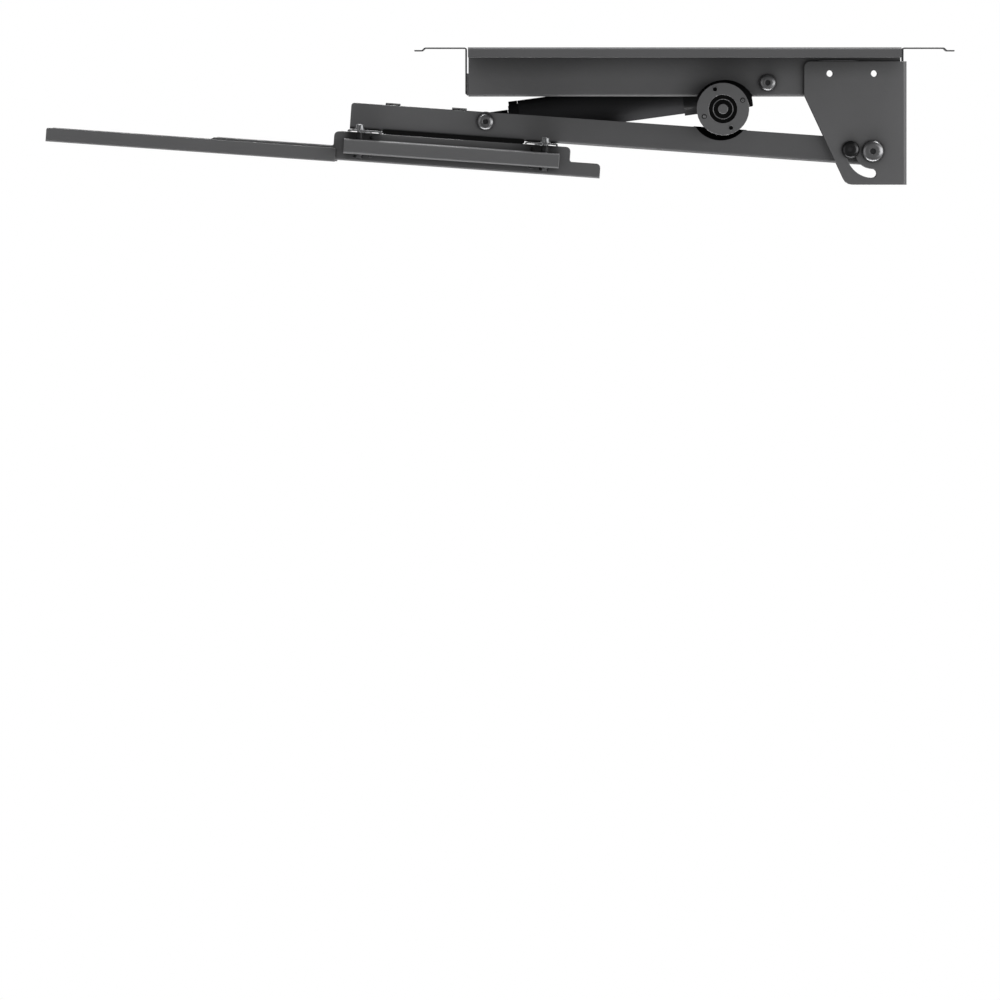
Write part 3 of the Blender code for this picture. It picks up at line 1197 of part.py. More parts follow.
def tube():
    """Outer tube of the actuator with its two collars and the wiper seal, below the pins' line."""
    front = TUBE_FRONT - SEAT_GAP
    turned("actuator_tube", ring_profile(TUBE_RADIUS, TUBE_INSIDE, TUBE_REAR, front), BLACK, ACTUATOR,
           AXIS, FORWARD, ring=True)
    inner = TUBE_RADIUS + SEAT_GAP
    turned("rear_collar", ring_profile(inner + REAR_COLLAR_WALL, inner, TUBE_REAR,
                                       TUBE_REAR + REAR_COLLAR_LENGTH),
           BLACK, ACTUATOR, AXIS, FORWARD, ring=True)
    bore = ROD_RADIUS + RUNNING_GAP
    tip = TUBE_FRONT + FRONT_COLLAR_LENGTH
    plug = TUBE_INSIDE - SEAT_GAP
    seat = bore + SEAL_WALL + SEAT_GAP
    collar = [(FRONT_COLLAR_RADIUS, tip), (FRONT_COLLAR_RADIUS, TUBE_FRONT), (plug, TUBE_FRONT),
              (plug, TUBE_FRONT - FRONT_COLLAR_SPIGOT), (bore, TUBE_FRONT - FRONT_COLLAR_SPIGOT),
              (bore, tip - SEAL_SEAT), (seat, tip - SEAL_SEAT), (seat, tip)]
    turned("front_collar", collar, BLACK, ACTUATOR, AXIS, FORWARD, ring=True)
    seal = ring_profile(bore + SEAL_WALL, bore, tip - SEAL_SEAT + SEAT_GAP, tip + SEAL_STANDOUT)
    turned("wiper_seal", seal, RUBBER, ACTUATOR, AXIS, FORWARD, ring=True)


def rod():
    """Chromed rod with the drive nut behind and the eye in front."""
    bore = SCREW_RADIUS + RUNNING_GAP
    inside = ROD_RADIUS - ROD_WALL
    plug = inside - SEAT_GAP
    nut_front = NUT_REAR + NUT_LENGTH
    nut = [(plug, nut_front + NUT_SPIGOT), (plug, nut_front), (TUBE_INSIDE - SLOT_GAP, nut_front),
           (TUBE_INSIDE - SLOT_GAP, NUT_REAR), (bore, NUT_REAR), (bore, nut_front + NUT_SPIGOT)]
    turned("drive_nut", nut, BRONZE, ACTUATOR, AXIS, FORWARD, ring=True)
    rod_front = ACTUATOR_LENGTH - ROD_NECK
    turned("rod_tube", ring_profile(ROD_RADIUS, inside, nut_front + SEAT_GAP, rod_front - SEAT_GAP), CHROME,
           ACTUATOR, AXIS, FORWARD, ring=True)
    neck = [(0, ACTUATOR_LENGTH), (ROD_RADIUS, ACTUATOR_LENGTH), (ROD_RADIUS, rod_front), (plug, rod_front),
            (plug, rod_front - ROD_SPIGOT), (0, rod_front - ROD_SPIGOT)]
    eye = turned("rod_eye", neck, BLACK, ACTUATOR, AXIS, FORWARD)
    half = ROD_EYE_WIDTH / 2
    place = [(-ACTUATOR_LENGTH, 0)]
    change(eye, rods("rod_eye_barrel", place, -half, half, ROD_EYE_RADIUS, steps=ROUND_STEPS), "UNION")
    change(eye, rods("rod_eye_bore", place, -2 * half, 2 * half, CROSS_BOLT_RADIUS + SEAT_GAP))
    end = half - SEAT_GAP
    pin = rods("rod_eye_pin", [(0, 0)], -end, end, CROSS_BOLT_RADIUS)
    add_piece("rod_eye_pin", pin, ZINC, ACTUATOR, (-ACTUATOR_LENGTH, 0, 0))


ceiling_plate()
main_channel()
end_bracket("end_bracket_left", -1)
end_bracket("end_bracket_right", 1)
hinge_bracket()
fold_pivot()
actuator_cross_bolt()
control_box()
arm_channel()
pivot_bushes()
guide_bolts()
rod_bolts()
cable_clips()
crossbars()
spreader_plate()
for side_word, side_sign, _ in sides():
    rail(side_word, side_sign)
    rail_extension(side_word, side_sign)
    side_bar(side_word, side_sign)
    lock_screws(side_word, side_sign)
gearbox_housing()
gearbox_cover()
drive()
motor()
tube()
rod()
bpy.context.view_layer.update()
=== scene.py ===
"""Looks of the motorised flip-down television ceiling mount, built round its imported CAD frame.

The frame has the ceiling at Z = 0, the fold hinge at +X and the motor's side at -Y. Metres.
"""

import json
import math

import bmesh
import bpy
from mathutils import Euler, Matrix, Vector


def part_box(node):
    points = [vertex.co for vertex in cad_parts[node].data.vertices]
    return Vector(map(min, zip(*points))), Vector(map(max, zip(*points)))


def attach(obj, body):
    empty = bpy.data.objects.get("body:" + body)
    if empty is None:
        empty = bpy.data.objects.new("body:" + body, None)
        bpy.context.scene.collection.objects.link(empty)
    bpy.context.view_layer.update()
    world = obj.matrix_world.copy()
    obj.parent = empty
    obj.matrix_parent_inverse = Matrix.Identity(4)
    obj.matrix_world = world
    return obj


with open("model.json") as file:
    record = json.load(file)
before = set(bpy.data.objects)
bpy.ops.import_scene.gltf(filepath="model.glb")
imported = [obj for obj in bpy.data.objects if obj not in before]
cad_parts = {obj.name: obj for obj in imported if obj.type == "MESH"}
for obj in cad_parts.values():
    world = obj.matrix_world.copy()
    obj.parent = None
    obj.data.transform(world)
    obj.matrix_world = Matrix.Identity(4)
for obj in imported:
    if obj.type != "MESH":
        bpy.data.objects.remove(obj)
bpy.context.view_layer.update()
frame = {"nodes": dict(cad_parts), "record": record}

# Sizes that the CAD part also has. Heights and reaches on the arm and on the rails are in the arm's
# own frame, measured from the fold hinge, and the gearbox cover's face is in the actuator's.
ARM_TILT = math.radians(4.04)
ARM_WIDTH = 0.140
ARM_SHEET = 0.0025
ARM_WEB_TOP = -0.0116
ARM_BOLT_SPACING = 0.070
BRACKET_REACH = 0.4097
CROSSBAR_SPACING = 0.1728
CROSSBAR_TOP = -0.0144
CROSSBAR_UNDERSIDE = -0.0160
SPREADER_UNDERSIDE = -0.0164
CLIP_REACHES = (0.4055, 0.4704)
CLIP_TOP = 0.0127
GUIDE_REACH = 0.0218
CHANNEL_HALF = 0.075
CHEEK_OUTSIDE = 0.0779
RAIL_OUTSIDE = 0.216
RAIL_OFFSET = 0.200
RAIL_FLANGE_TOP = -0.0434
SIDE_BAR_TOP = -0.0235
SIDE_BAR_BOTTOM = -0.0383
LOCK_OFFSET = 0.2265
LOCK_SPACING = 0.181
COVER_FACE = -0.0620
MOTOR_FACE = 0.092
MOTOR_RECESS = 0.004

# Sizes of the scene's own pieces. A head has a radius and a height, and a nut has a radius, a bore
# and a height. The seat is how far a piece is sunk or lifted, so that no two faces share a plane. The
# rim is the straight foot of a head or nut.
SEAT = 0.0001
SOFT_CORNER = 0.0002
ROUND_ANGLE = math.radians(36)
RIM_SHARE = 0.18

# Corners in the outlines of round pieces, and steps along domes and weld beads
WELD_STEPS = 8
WELD_RIPPLES = 40
DOME_STEPS = 6
SMALL_STEPS = 20
FLOOR_STEPS = 24
HEAD_STEPS = 28
MOTOR_STEPS = 48

# Welds, lid and inlet on the ceiling frame
PLATE_WELD_PLACES = (-0.165, -0.055, 0.055, 0.165)
PLATE_WELD_LENGTH = 0.032
PLATE_WELD_RADIUS = 0.0011
PLATE_WELD_HEIGHT = -0.0029
PLATE_WELD_GAP = 0.0002
CHEEK_WELD_ENDS = (0.130, 0.170)
CHEEK_WELD_RADIUS = 0.0009
CHEEK_WELD_HEIGHT = -0.0131
CHEEK_WELD_INSET = 0.0016
LID_SCREW = (0.0026, 0.0014)
LID_SCREW_INSET = 0.007
LID_BUTTON = (0.0040, 0.0013)
LID_LAMP = (0.0018, 0.0011)
LID_BUTTON_OFFSET = 0.012
INLET_PIN = (0.0022, 0.0075, 0.0009)
INLET_PIN_PLACES = ((-0.0055, -0.0016), (0.0055, -0.0016), (0, 0.0020))
INLET_FLOOR = 0.002

# Fasteners, strips and pads on the arm; the strips and the motor pad are painted shade
CROSSBAR_BOLT = (0.0058, 0.0032)
CROSSBAR_NUT = (0.0060, 0.0028, 0.0042)
SPREADER_SCREW = (0.0036, 0.0018)
SPREADER_SCREW_REACHES = (0.352, 0.468)
SPREADER_SCREW_OFFSET = 0.055
GUIDE_NUT = (0.0070, 0.0041, 0.0055)
GAP_STRIP_LENGTH = 0.196
GAP_STRIP_WIDTH = 0.004
GAP_STRIP_OFFSET = 0.050
EDGE_STRIP_LENGTH = 0.139
EDGE_STRIP_INSIDE = 0.062
STRIP_LIP = 0.0011
CLIP_PAD = (0.0145, 0.0092, 0.0008)
CLIP_PAD_INSET = 0.0054
MOTOR_SHADE_PAD = (0.052, 0.0010, 0.016)
MOTOR_SHADE_PAD_AT = (-0.1500, 0.0040)
SOCKET_DEPTH_SHARE = 0.6
SOCKET_FLOOR_SHARE = 0.84
SOCKET_FLOOR_THICKNESS = 0.0003

# Fasteners on the rails
WEB_RIVET = (0.0017, 0.0010)
FOOT_RIVET = (0.0025, 0.0022)
SIDE_RIVET_REACHES = (0.3320, 0.4884)
WEB_RIVET_HEIGHT = -0.0213
FOOT_RIVET_OFFSET = 0.011
LOCK_NUT = (0.0046, 0.0027, 0.0033)
LOCK_SLEEVE = (0.0038, 0.0026)
LOCK_SLEEVE_TOP = -0.0170
JOINT_BOLT = (0.0052, 0.0026)
JOINT_BOLT_REACHES = (0.5440, 0.6240)

# Detail on the actuator. A ring has an outer radius, a bore and a height. The cover's screws have their
# Y and Z in the actuator's own frame, and the motor's screws and vents their X and Z from its axis.
COVER_SCREW = (0.0030, 0.0020)
COVER_SCREW_PLACES = ((-0.0150, 0.0125), (0.0150, 0.0125), (-0.0150, -0.0330), (0.0150, -0.0330))
GREASE_PLUG = (0.0042, 0.0018)
GREASE_PLUG_AT = (-0.030, 0, 0.0175)
MOTOR_SEAL = (0.0137, 0.0051, 0.0028)
MOTOR_RING = (0.0101, 0.0092, 0.0033)
MOTOR_SCREW = (0.0018, 0.0006)
MOTOR_SCREW_GAP = (0.0024, 0.0019, 0.0001)
MOTOR_SCREW_PLACES = ((0.0192, 0.0086), (-0.0183, -0.0074))
MOTOR_VENT_RIM = (0.0025, 0.0021, 0.0004)
MOTOR_VENT_DEPTH = 0.0001
MOTOR_VENT_PLACES = ((-0.0079, 0.0192), (0.0078, -0.0184))

# Finishes: the slow noise that changes the tint, the middle of its values, how far it lets the
# roughness wander, and the strength of the fine grain
SLOW_NOISE_SCALE = 22
NOISE_MIDDLE = (0.3, 0.7)
COAT_WANDER = 0.015
METAL_WANDER = 0.05
LEAST_ROUGHNESS = 0.02
GRAIN_STRENGTH = 0.35
SLOW_DETAIL = 3
FINE_DETAIL = 2

# The coat: how far its edges look rounded and carry a painted highlight, how it shines, the turn of
# the normal that counts as a full edge, the colour of the painted shade in the depth of a gap, and the
# samples that find edges and gaps
COAT_EDGE = 0.0008
THIN_EDGE = 0.0003
COAT_IOR = 2.0
GLOSS_ROUGHNESS = 0.16
EDGE_FULL = 0.76
GAP_SHADE_COLOUR = (0.004, 0.004, 0.004, 1)
EDGE_SAMPLES = 6
GAP_SAMPLES = 8

# Softening of the CAD nodes: points this close are joined, and corners over this angle are rounded
MERGE_DISTANCE = 0.000005
NODE_EDGE = 0.00025
NODE_CORNER_ANGLE = math.radians(50)

# Camera: the photograph is as good as parallel and level with the mount, so the camera stands far
# off at the mount's height with a long lens, and dips to the middle of the picture.
PHOTO_WIDTH_PX = 1000
PHOTO_MM_PER_PX = 0.975
PLATE_CENTRE_PX = (684.5, 47.4)
PHOTO_PLANE_Y = -0.12
CAMERA_HEIGHT = -0.06
CAMERA_SIDE = -0.085
LENS_MM = 1650.0
SENSOR_MM = 36.0

# Light: the room's own light, and the side where its mirror image is dim. A mirror image is dim
# where the cosine to that side is over the first limit, and white where it is under the second.
ROOM_LIGHT = 0.3
DIM_SIDE = (-0.45, -0.85, -0.2)
DIM_LIMITS = (0.35, -0.15)
WHITE = (1, 1, 1, 1)

# Lamps: place, target, size and power of each
LAMPS = {
    "top_box": ((-0.2, -0.35, 2.4), (-0.2, -0.35, 0), (3.2, 0.8), 140),
    "low_box": ((-0.2, -0.45, -2.4), (-0.2, -0.45, 0), (3.2, 0.8), 70),
    "key_box": ((3.9, -3.0, 0.2), (-0.2, -0.15, -0.08), (5.5, 3.0), 200),
    "fill_box": ((-4.0, -3.4, -0.3), (-0.2, -0.15, -0.08), (4.0, 4.0), 40),
}

# Floor, far below the mount
FLOOR_AT = (-0.1, 0, -3.0)
FLOOR_SIZE = 1.5
FLOOR_WHITE = (0.82, 0.82, 0.82, 1)


def centre_of(node):
    """Middle of a CAD node's box."""
    low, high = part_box(node)
    return (low + high) / 2


PIVOT = centre_of("pivot_shaft")
PIVOT.y = 0
ACTUATOR_PIN = centre_of("actuator_spacer_near")
ACTUATOR_PIN.y = 0
ROD_PIN = centre_of("rod_eye_pin")
ACTUATOR_AXIS = (ROD_PIN - ACTUATOR_PIN).normalized()
ACTUATOR_TILT = math.atan2(-ACTUATOR_AXIS.z, -ACTUATOR_AXIS.x)

ARM = Matrix.Translation(PIVOT) @ Matrix.Rotation(ARM_TILT, 4, "Y")
ACTUATOR = Matrix.Translation(ACTUATOR_PIN) @ Matrix.Rotation(-ACTUATOR_TILT, 4, "Y")
WORLD = Matrix.Identity(4)

# Directions that a turned piece's own +Z can face
NEAR = (math.pi / 2, 0, 0)
FAR = (-math.pi / 2, 0, 0)
FORWARD = (0, -math.pi / 2, 0)
UP = (0, 0, 0)
DOWN = (math.pi, 0, 0)


# Materials

def new_material(name):
    """New material, its node tree and its Principled shader."""
    look = bpy.data.materials.new(name)
    look.use_nodes = True
    tree = look.node_tree
    shader = tree.nodes["Principled BSDF"]
    return look, tree, shader


def add_noise(tree, scale, detail, stretch=(1, 1, 1)):
    """Noise in the object's own metres."""
    coordinates = tree.nodes.new("ShaderNodeTexCoord")
    mapping = tree.nodes.new("ShaderNodeMapping")
    mapping.inputs["Scale"].default_value = stretch
    noise = tree.nodes.new("ShaderNodeTexNoise")
    noise.inputs["Scale"].default_value = scale
    noise.inputs["Detail"].default_value = detail
    tree.links.new(coordinates.outputs["Object"], mapping.inputs["Vector"])
    tree.links.new(mapping.outputs["Vector"], noise.inputs["Vector"])
    return noise.outputs["Fac"]


def add_range(tree, value, low, high):
    """Noise value spread over a range."""
    spread = tree.nodes.new("ShaderNodeMapRange")
    spread.inputs["From Min"].default_value, spread.inputs["From Max"].default_value = NOISE_MIDDLE
    spread.inputs["To Min"].default_value = low
    spread.inputs["To Max"].default_value = high
    tree.links.new(value, spread.inputs["Value"])
    return spread.outputs["Result"]


def add_tint(tree, value, color, depth):
    """Colour that varies a little with a noise value."""
    mix = tree.nodes.new("ShaderNodeMix")
    mix.data_type = "RGBA"
    mix.inputs["A"].default_value = (*[c * (1 - depth) for c in color], 1)
    mix.inputs["B"].default_value = (*[min(1.0, c * (1 + depth)) for c in color], 1)
    tree.links.new(value, mix.inputs["Factor"])
    return mix.outputs["Result"]


def add_bump(tree, value, strength, depth):
    """Bump node driven by a noise value."""
    bump = tree.nodes.new("ShaderNodeBump")
    bump.inputs["Strength"].default_value = strength
    bump.inputs["Distance"].default_value = depth
    tree.links.new(value, bump.inputs["Height"])
    return bump


def add_gap_shade(tree, color, shader, reach, power):
    """Painted shade: darkens a coat in gaps and corners, as far out of them as the reach."""
    occlusion = tree.nodes.new("ShaderNodeAmbientOcclusion")
    occlusion.samples = GAP_SAMPLES
    occlusion.inputs["Distance"].default_value = reach
    deepen = tree.nodes.new("ShaderNodeMath")
    deepen.operation = "POWER"
    deepen.inputs[1].default_value = power
    tree.links.new(occlusion.outputs["AO"], deepen.inputs[0])
    darken = tree.nodes.new("ShaderNodeMix")
    darken.data_type = "RGBA"
    darken.inputs["A"].default_value = GAP_SHADE_COLOUR
    tree.links.new(color, darken.inputs["B"])
    tree.links.new(deepen.outputs["Value"], darken.inputs["Factor"])
    tree.links.new(darken.outputs["Result"], shader.inputs["Base Color"])


def add_edge_share(tree, soft):
    """How near a point is to an edge: the turn of the rounded normal from the plain one, 0 to 1."""
    plain = tree.nodes.new("ShaderNodeNewGeometry")
    match = tree.nodes.new("ShaderNodeVectorMath")
    match.operation = "DOT_PRODUCT"
    tree.links.new(soft.outputs["Normal"], match.inputs[0])
    tree.links.new(plain.outputs["Normal"], match.inputs[1])
    share = tree.nodes.new("ShaderNodeMapRange")
    share.inputs["From Min"].default_value = 1.0
    share.inputs["From Max"].default_value = EDGE_FULL
    tree.links.new(match.outputs["Value"], share.inputs["Value"])
    return share.outputs["Result"]


def add_edge_gloss(tree, share, shader, gloss, shine):
    """Coat that is thin on flat faces and full on the edges."""
    weight = tree.nodes.new("ShaderNodeMapRange")
    weight.inputs["To Min"].default_value = gloss
    weight.inputs["To Max"].default_value = shine
    tree.links.new(share, weight.inputs["Value"])
    tree.links.new(weight.outputs["Result"], shader.inputs["Coat Weight"])


def add_painted_edge_highlight(tree, share, tint, color, amount):
    """Painted highlight: colour that is a little lighter on the edges, as if they caught the light."""
    edge_highlight = tree.nodes.new("ShaderNodeMix")
    edge_highlight.data_type = "RGBA"
    edge_highlight.inputs["B"].default_value = (*[c * amount for c in color], 1)
    tree.links.new(tint, edge_highlight.inputs["A"])
    tree.links.new(share, edge_highlight.inputs["Factor"])
    return edge_highlight.outputs["Result"]


def finish(name, color, roughness, metallic=0.0, grain=1800, grain_depth=0.00002, depth=0.06,
           stretch=(1, 1, 1), specular=0.5, edge=0.0, gloss=0.0, shine=0.9, edge_highlight=1.7,
           reach=0.003, power=1.0):
    """Finish with a fine grain, slow changes of tint and a roughness that wanders.

    A finish with an edge radius is a coat: its edges look rounded and shine, a painted highlight makes
    them a little lighter, and painted shade darkens it in narrow gaps.
    """
    look, tree, shader = new_material(name)
    shader.inputs["Metallic"].default_value = metallic
    shader.inputs["Specular IOR Level"].default_value = specular
    slow = add_noise(tree, SLOW_NOISE_SCALE, SLOW_DETAIL)
    fine = add_noise(tree, grain, FINE_DETAIL, stretch)
    tint = add_tint(tree, slow, color, depth)
    wander = COAT_WANDER if edge else METAL_WANDER
    rough = add_range(tree, slow, max(LEAST_ROUGHNESS, roughness - wander), roughness + wander)
    tree.links.new(rough, shader.inputs["Roughness"])
    bump = add_bump(tree, fine, GRAIN_STRENGTH, grain_depth)
    tree.links.new(bump.outputs["Normal"], shader.inputs["Normal"])
    if edge:
        soft = tree.nodes.new("ShaderNodeBevel")
        soft.samples = EDGE_SAMPLES
        soft.inputs["Radius"].default_value = edge
        tree.links.new(soft.outputs["Normal"], bump.inputs["Normal"])
        tree.links.new(soft.outputs["Normal"], shader.inputs["Coat Normal"])
        shader.inputs["Coat IOR"].default_value = COAT_IOR
        shader.inputs["Coat Roughness"].default_value = GLOSS_ROUGHNESS
        share = add_edge_share(tree, soft)
        add_edge_gloss(tree, share, shader, gloss, shine)
        # The edges get a painted highlight and the gaps a painted shade
        highlighted = add_painted_edge_highlight(tree, share, tint, color, edge_highlight)
        add_gap_shade(tree, highlighted, shader, reach, power)
    else:
        tree.links.new(tint, shader.inputs["Base Color"])
    return look


# What the powder coats share
POWDER = {"grain": 1500, "grain_depth": 0.00003, "specular": 0.1, "edge": COAT_EDGE}
THIN_POWDER = {**POWDER, "edge": THIN_EDGE}

COATED = finish("powder_coat", (0.086, 0.086, 0.088), 0.50, gloss=0.1, **POWDER)
COATED_PLATE = finish("powder_coat_plate", (0.085, 0.085, 0.087), 0.50, gloss=0.05, shine=0.3,
                      **POWDER)
# The thin end brackets' coat is a darker copy of the powder coat without lighter edges: painted shade
COATED_THIN = finish("powder_coat_thin", (0.056, 0.056, 0.058), 0.50, gloss=0.05, shine=0.1,
                     edge_highlight=1.0, **THIN_POWDER)
# The frame's coat paints a wide shade, up to 30 mm out of its corners, such as on the channel and
# cheeks under the plate's overhang
COATED_FRAME = finish("powder_coat_frame", (0.099, 0.099, 0.101), 0.50, gloss=0.1, shine=0.4,
                      reach=0.03, power=1.8, **POWDER)
COATED_CAP = finish("powder_coat_cap", (0.096, 0.096, 0.098), 0.50, gloss=0.4, **POWDER)
# The rails' coat paints shade up to 12 mm out of its corners, such as under the side bars
COATED_RAIL = finish("powder_coat_rail", (0.093, 0.093, 0.095), 0.48, gloss=0.1, shine=0.7,
                     reach=0.012, power=0.8, **POWDER)
# The plated crossbars are dark, with a strong painted highlight on their edges
COATED_BAR = finish("plated_bar", (0.050, 0.050, 0.052), 0.36, grain=1100, stretch=(1, 6, 1),
                    specular=0.1, edge=COAT_EDGE, gloss=0.1, edge_highlight=5.0)
BLACK = finish("black_enamel", (0.017, 0.017, 0.018), 0.50, grain=700, grain_depth=0.00003,
               specular=0.1, edge=COAT_EDGE, gloss=0.03, shine=0.15)
TUBE_BLACK = finish("tube_enamel", (0.032, 0.032, 0.034), 0.64, grain=700, grain_depth=0.00003,
                    specular=0.12)
CLIP_BLACK = finish("clip_black", (0.009, 0.009, 0.009), 0.60, grain=900, specular=0.05)
ZINC = finish("zinc_plate", (0.34, 0.345, 0.35), 0.30, 1.0, grain=900, stretch=(1, 6, 1),
              depth=0.05)
DARK_BOLT = finish("dark_plated_bolt", (0.19, 0.19, 0.194), 0.36, 1.0, grain=1400, depth=0.04)
PLATED_SCREW = finish("plated_screw", (0.15, 0.152, 0.155), 0.32, 1.0, grain=900, stretch=(1, 6, 1))
BLACK_BOLT = finish("blackened_bolt", (0.040, 0.040, 0.041), 0.26, 1.0, grain=1400, depth=0.04)
SOCKET_SHADE = finish("socket_shade_floor", (0.060, 0.060, 0.062), 0.35, 1.0, grain=1400, depth=0.04)
CHROME = finish("hard_chrome", (0.62, 0.62, 0.63), 0.10, 1.0, grain=2600, stretch=(6, 1, 1),
                depth=0.02)
STEEL = finish("turned_steel", (0.34, 0.34, 0.35), 0.33, 1.0, grain=1600, stretch=(5, 1, 1))
BRONZE = finish("bronze", (0.50, 0.31, 0.14), 0.32, 1.0, grain=1600)
NYLON = finish("dark_nylon", (0.030, 0.030, 0.032), 0.52, grain=1200, specular=0.2)
PLASTIC = finish("textured_plastic", (0.022, 0.022, 0.023), 0.56, grain=900, grain_depth=0.00005,
                 specular=0.2)
RUBBER = finish("seal_rubber", (0.005, 0.005, 0.005), 0.78, grain=1400, specular=0.03)
# Black of the clip pads, and painted shade in the motor's vents and in the gaps round its screws
BLACK_AND_RECESS_SHADE = finish("black_and_recess_shade", (0.003, 0.003, 0.003), 0.85, specular=0.0)
LENS_RED = finish("indicator_lens", (0.30, 0.012, 0.010), 0.22)

# Looks by the CAD part's material slots, and by the first words of a node's name where those differ
SLOT_LOOKS = {
    "coated": COATED,
    "black": BLACK,
    "zinc": ZINC,
    "chrome": CHROME,
    "steel": STEEL,
    "bronze": BRONZE,
    "nylon": NYLON,
    "plastic": PLASTIC,
    "rubber": RUBBER,
}
NODE_LOOKS = {
    "rail_": COATED_RAIL,
    "side_bar_": COATED_RAIL,
    "ceiling_plate": COATED_PLATE,
    "end_bracket_": COATED_THIN,
    "main_channel": COATED_FRAME,
    "hinge_bracket": COATED_FRAME,
    "pivot_bolt": DARK_BOLT,
    "actuator_bolt": DARK_BOLT,
    "rod_bolt": DARK_BOLT,
    "guide_bolt": BLACK_BOLT,
    "lock_screw": PLATED_SCREW,
    "motor_end_cap": COATED_CAP,
    "crossbar_": COATED_BAR,
    # The spreader plate takes the black enamel: painted shade, as it lies in shade between the arm and
    # the bars
    "spreader_plate": BLACK,
    "actuator_tube": TUBE_BLACK,
    "motor_can": CLIP_BLACK,
    "cable_clip": CLIP_BLACK,
}


def dress_cad_nodes():
    """Gives every CAD node its finish, soft edges and smooth round faces."""
    slots = {entry["node"]: entry["material_slot"] for entry in frame["record"]["subparts"]}
    for name, node in frame["nodes"].items():
        own = [look for word, look in NODE_LOOKS.items() if name.startswith(word)]
        look = own[0] if own else SLOT_LOOKS[slots[name]]
        node.data.materials.clear()
        node.data.materials.append(look)
        if "custom_normal" in node.data.attributes:
            node.data.attributes.remove(node.data.attributes["custom_normal"])
        node.data.shade_smooth()
        weld = node.modifiers.new("weld", "WELD")
        weld.merge_threshold = MERGE_DISTANCE
        bevel = node.modifiers.new("edge", "BEVEL")
        bevel.width = NODE_EDGE
        bevel.segments = 2
        bevel.limit_method = "ANGLE"
        bevel.angle_limit = NODE_CORNER_ANGLE
        bevel.use_clamp_overlap = True
        split = node.modifiers.new("split", "EDGE_SPLIT")
        split.split_angle = NODE_CORNER_ANGLE
        split.use_edge_sharp = False
        even = node.modifiers.new("even", "WEIGHTED_NORMAL")
        even.keep_sharp = True


# Shapes

def finish_mesh(name, shape):
    """Mesh from a bmesh, smooth where it is round."""
    bmesh.ops.recalc_face_normals(shape, faces=shape.faces)
    mesh = bpy.data.meshes.new(name)
    shape.to_mesh(mesh)
    shape.free()
    mesh.shade_smooth()
    mesh.set_sharp_from_angle(angle=ROUND_ANGLE)
    return mesh


def place(name, mesh, look, body, base, at, facing=UP, turn=0.0):
    """Puts a piece in one of the frames and lets it ride on its body."""
    piece = bpy.data.objects.new(name, mesh)
    mesh.materials.clear()
    mesh.materials.append(look)
    bpy.context.scene.collection.objects.link(piece)
    spin = Matrix.Rotation(turn, 4, "Z")
    piece.matrix_world = base @ Matrix.Translation(at) @ Euler(facing).to_matrix().to_4x4() @ spin
    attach(piece, body)


def ring_of_points(shape, radius, height, steps):
    """Points on a circle about the Z axis."""
    ring = []
    for step in range(steps):
        angle = 2 * math.pi * step / steps
        ring.append(shape.verts.new((radius * math.cos(angle), radius * math.sin(angle), height)))
    return ring


def lathe(name, profile, steps):
    """Closed turned mesh from radii and heights that run from one end of the axis to the other."""
    shape = bmesh.new()
    rings = []
    for radius, height in profile:
        if radius == 0:
            rings.append([shape.verts.new((0, 0, height))])
        else:
            rings.append(ring_of_points(shape, radius, height, steps))
    for lower, upper in zip(rings, rings[1:]):
        for step in range(steps):
            ahead = (step + 1) % steps
            corners = [lower[step % len(lower)], lower[ahead % len(lower)],
                       upper[ahead % len(upper)], upper[step % len(upper)]]
            unique = list(dict.fromkeys(corners))
            if len(unique) > 2:
                shape.faces.new(unique)
    return finish_mesh(name, shape)


def tube_ring(name, outer, inner, low, high, steps):
    """Closed ring with a bore."""
    profile = [(inner, low), (outer, low), (outer, high), (inner, high)]
    shape = bmesh.new()
    rings = [ring_of_points(shape, radius, height, steps) for radius, height in profile]
    for index, lower in enumerate(rings):
        upper = rings[(index + 1) % len(rings)]
        for step in range(steps):
            ahead = (step + 1) % steps
            shape.faces.new([lower[step], lower[ahead], upper[ahead], upper[step]])
    return finish_mesh(name, shape)


def dome_profile(radius, height, flat_share=0.45):
    """Profile of a domed head that stands on Z = 0."""
    flat = radius * flat_share
    edge = height * RIM_SHARE
    points = [(0, 0), (radius, 0)]
    for step in range(DOME_STEPS + 1):
        angle = math.pi / 2 * step / DOME_STEPS
        points.append((flat + (radius - flat) * math.cos(angle),
                       edge + (height - edge) * math.sin(angle)))
    points.append((0, height))
    return points


def disc_profile(radius, thickness):
    """Profile of a flat disc that stands on Z = 0."""
    return [(0, 0), (radius, 0), (radius, thickness), (0, thickness)]


def cut(mesh, cutter_mesh):
    """Mesh less another mesh."""
    body = bpy.data.objects.new("cut_body", mesh)
    cutter = bpy.data.objects.new("cut_tool", cutter_mesh)
    for piece in (body, cutter):
        bpy.context.scene.collection.objects.link(piece)
    modifier = body.modifiers.new("cut", "BOOLEAN")
    modifier.object = cutter
    bpy.context.view_layer.update()
    shaped = body.evaluated_get(bpy.context.evaluated_depsgraph_get())
    result = bpy.data.meshes.new_from_object(shaped)
    for piece in (body, cutter):
        bpy.data.objects.remove(piece)
    result.shade_smooth()
    result.set_sharp_from_angle(angle=ROUND_ANGLE)
    return result


def prism_mesh(name, corners, radius, low, high):
    """Closed prism with a regular outline."""
    shape = bmesh.new()
    bmesh.ops.create_cone(shape, cap_ends=True, segments=corners, radius1=radius, radius2=radius,
                          depth=high - low, matrix=Matrix.Translation((0, 0, (low + high) / 2)))
    return finish_mesh(name, shape)


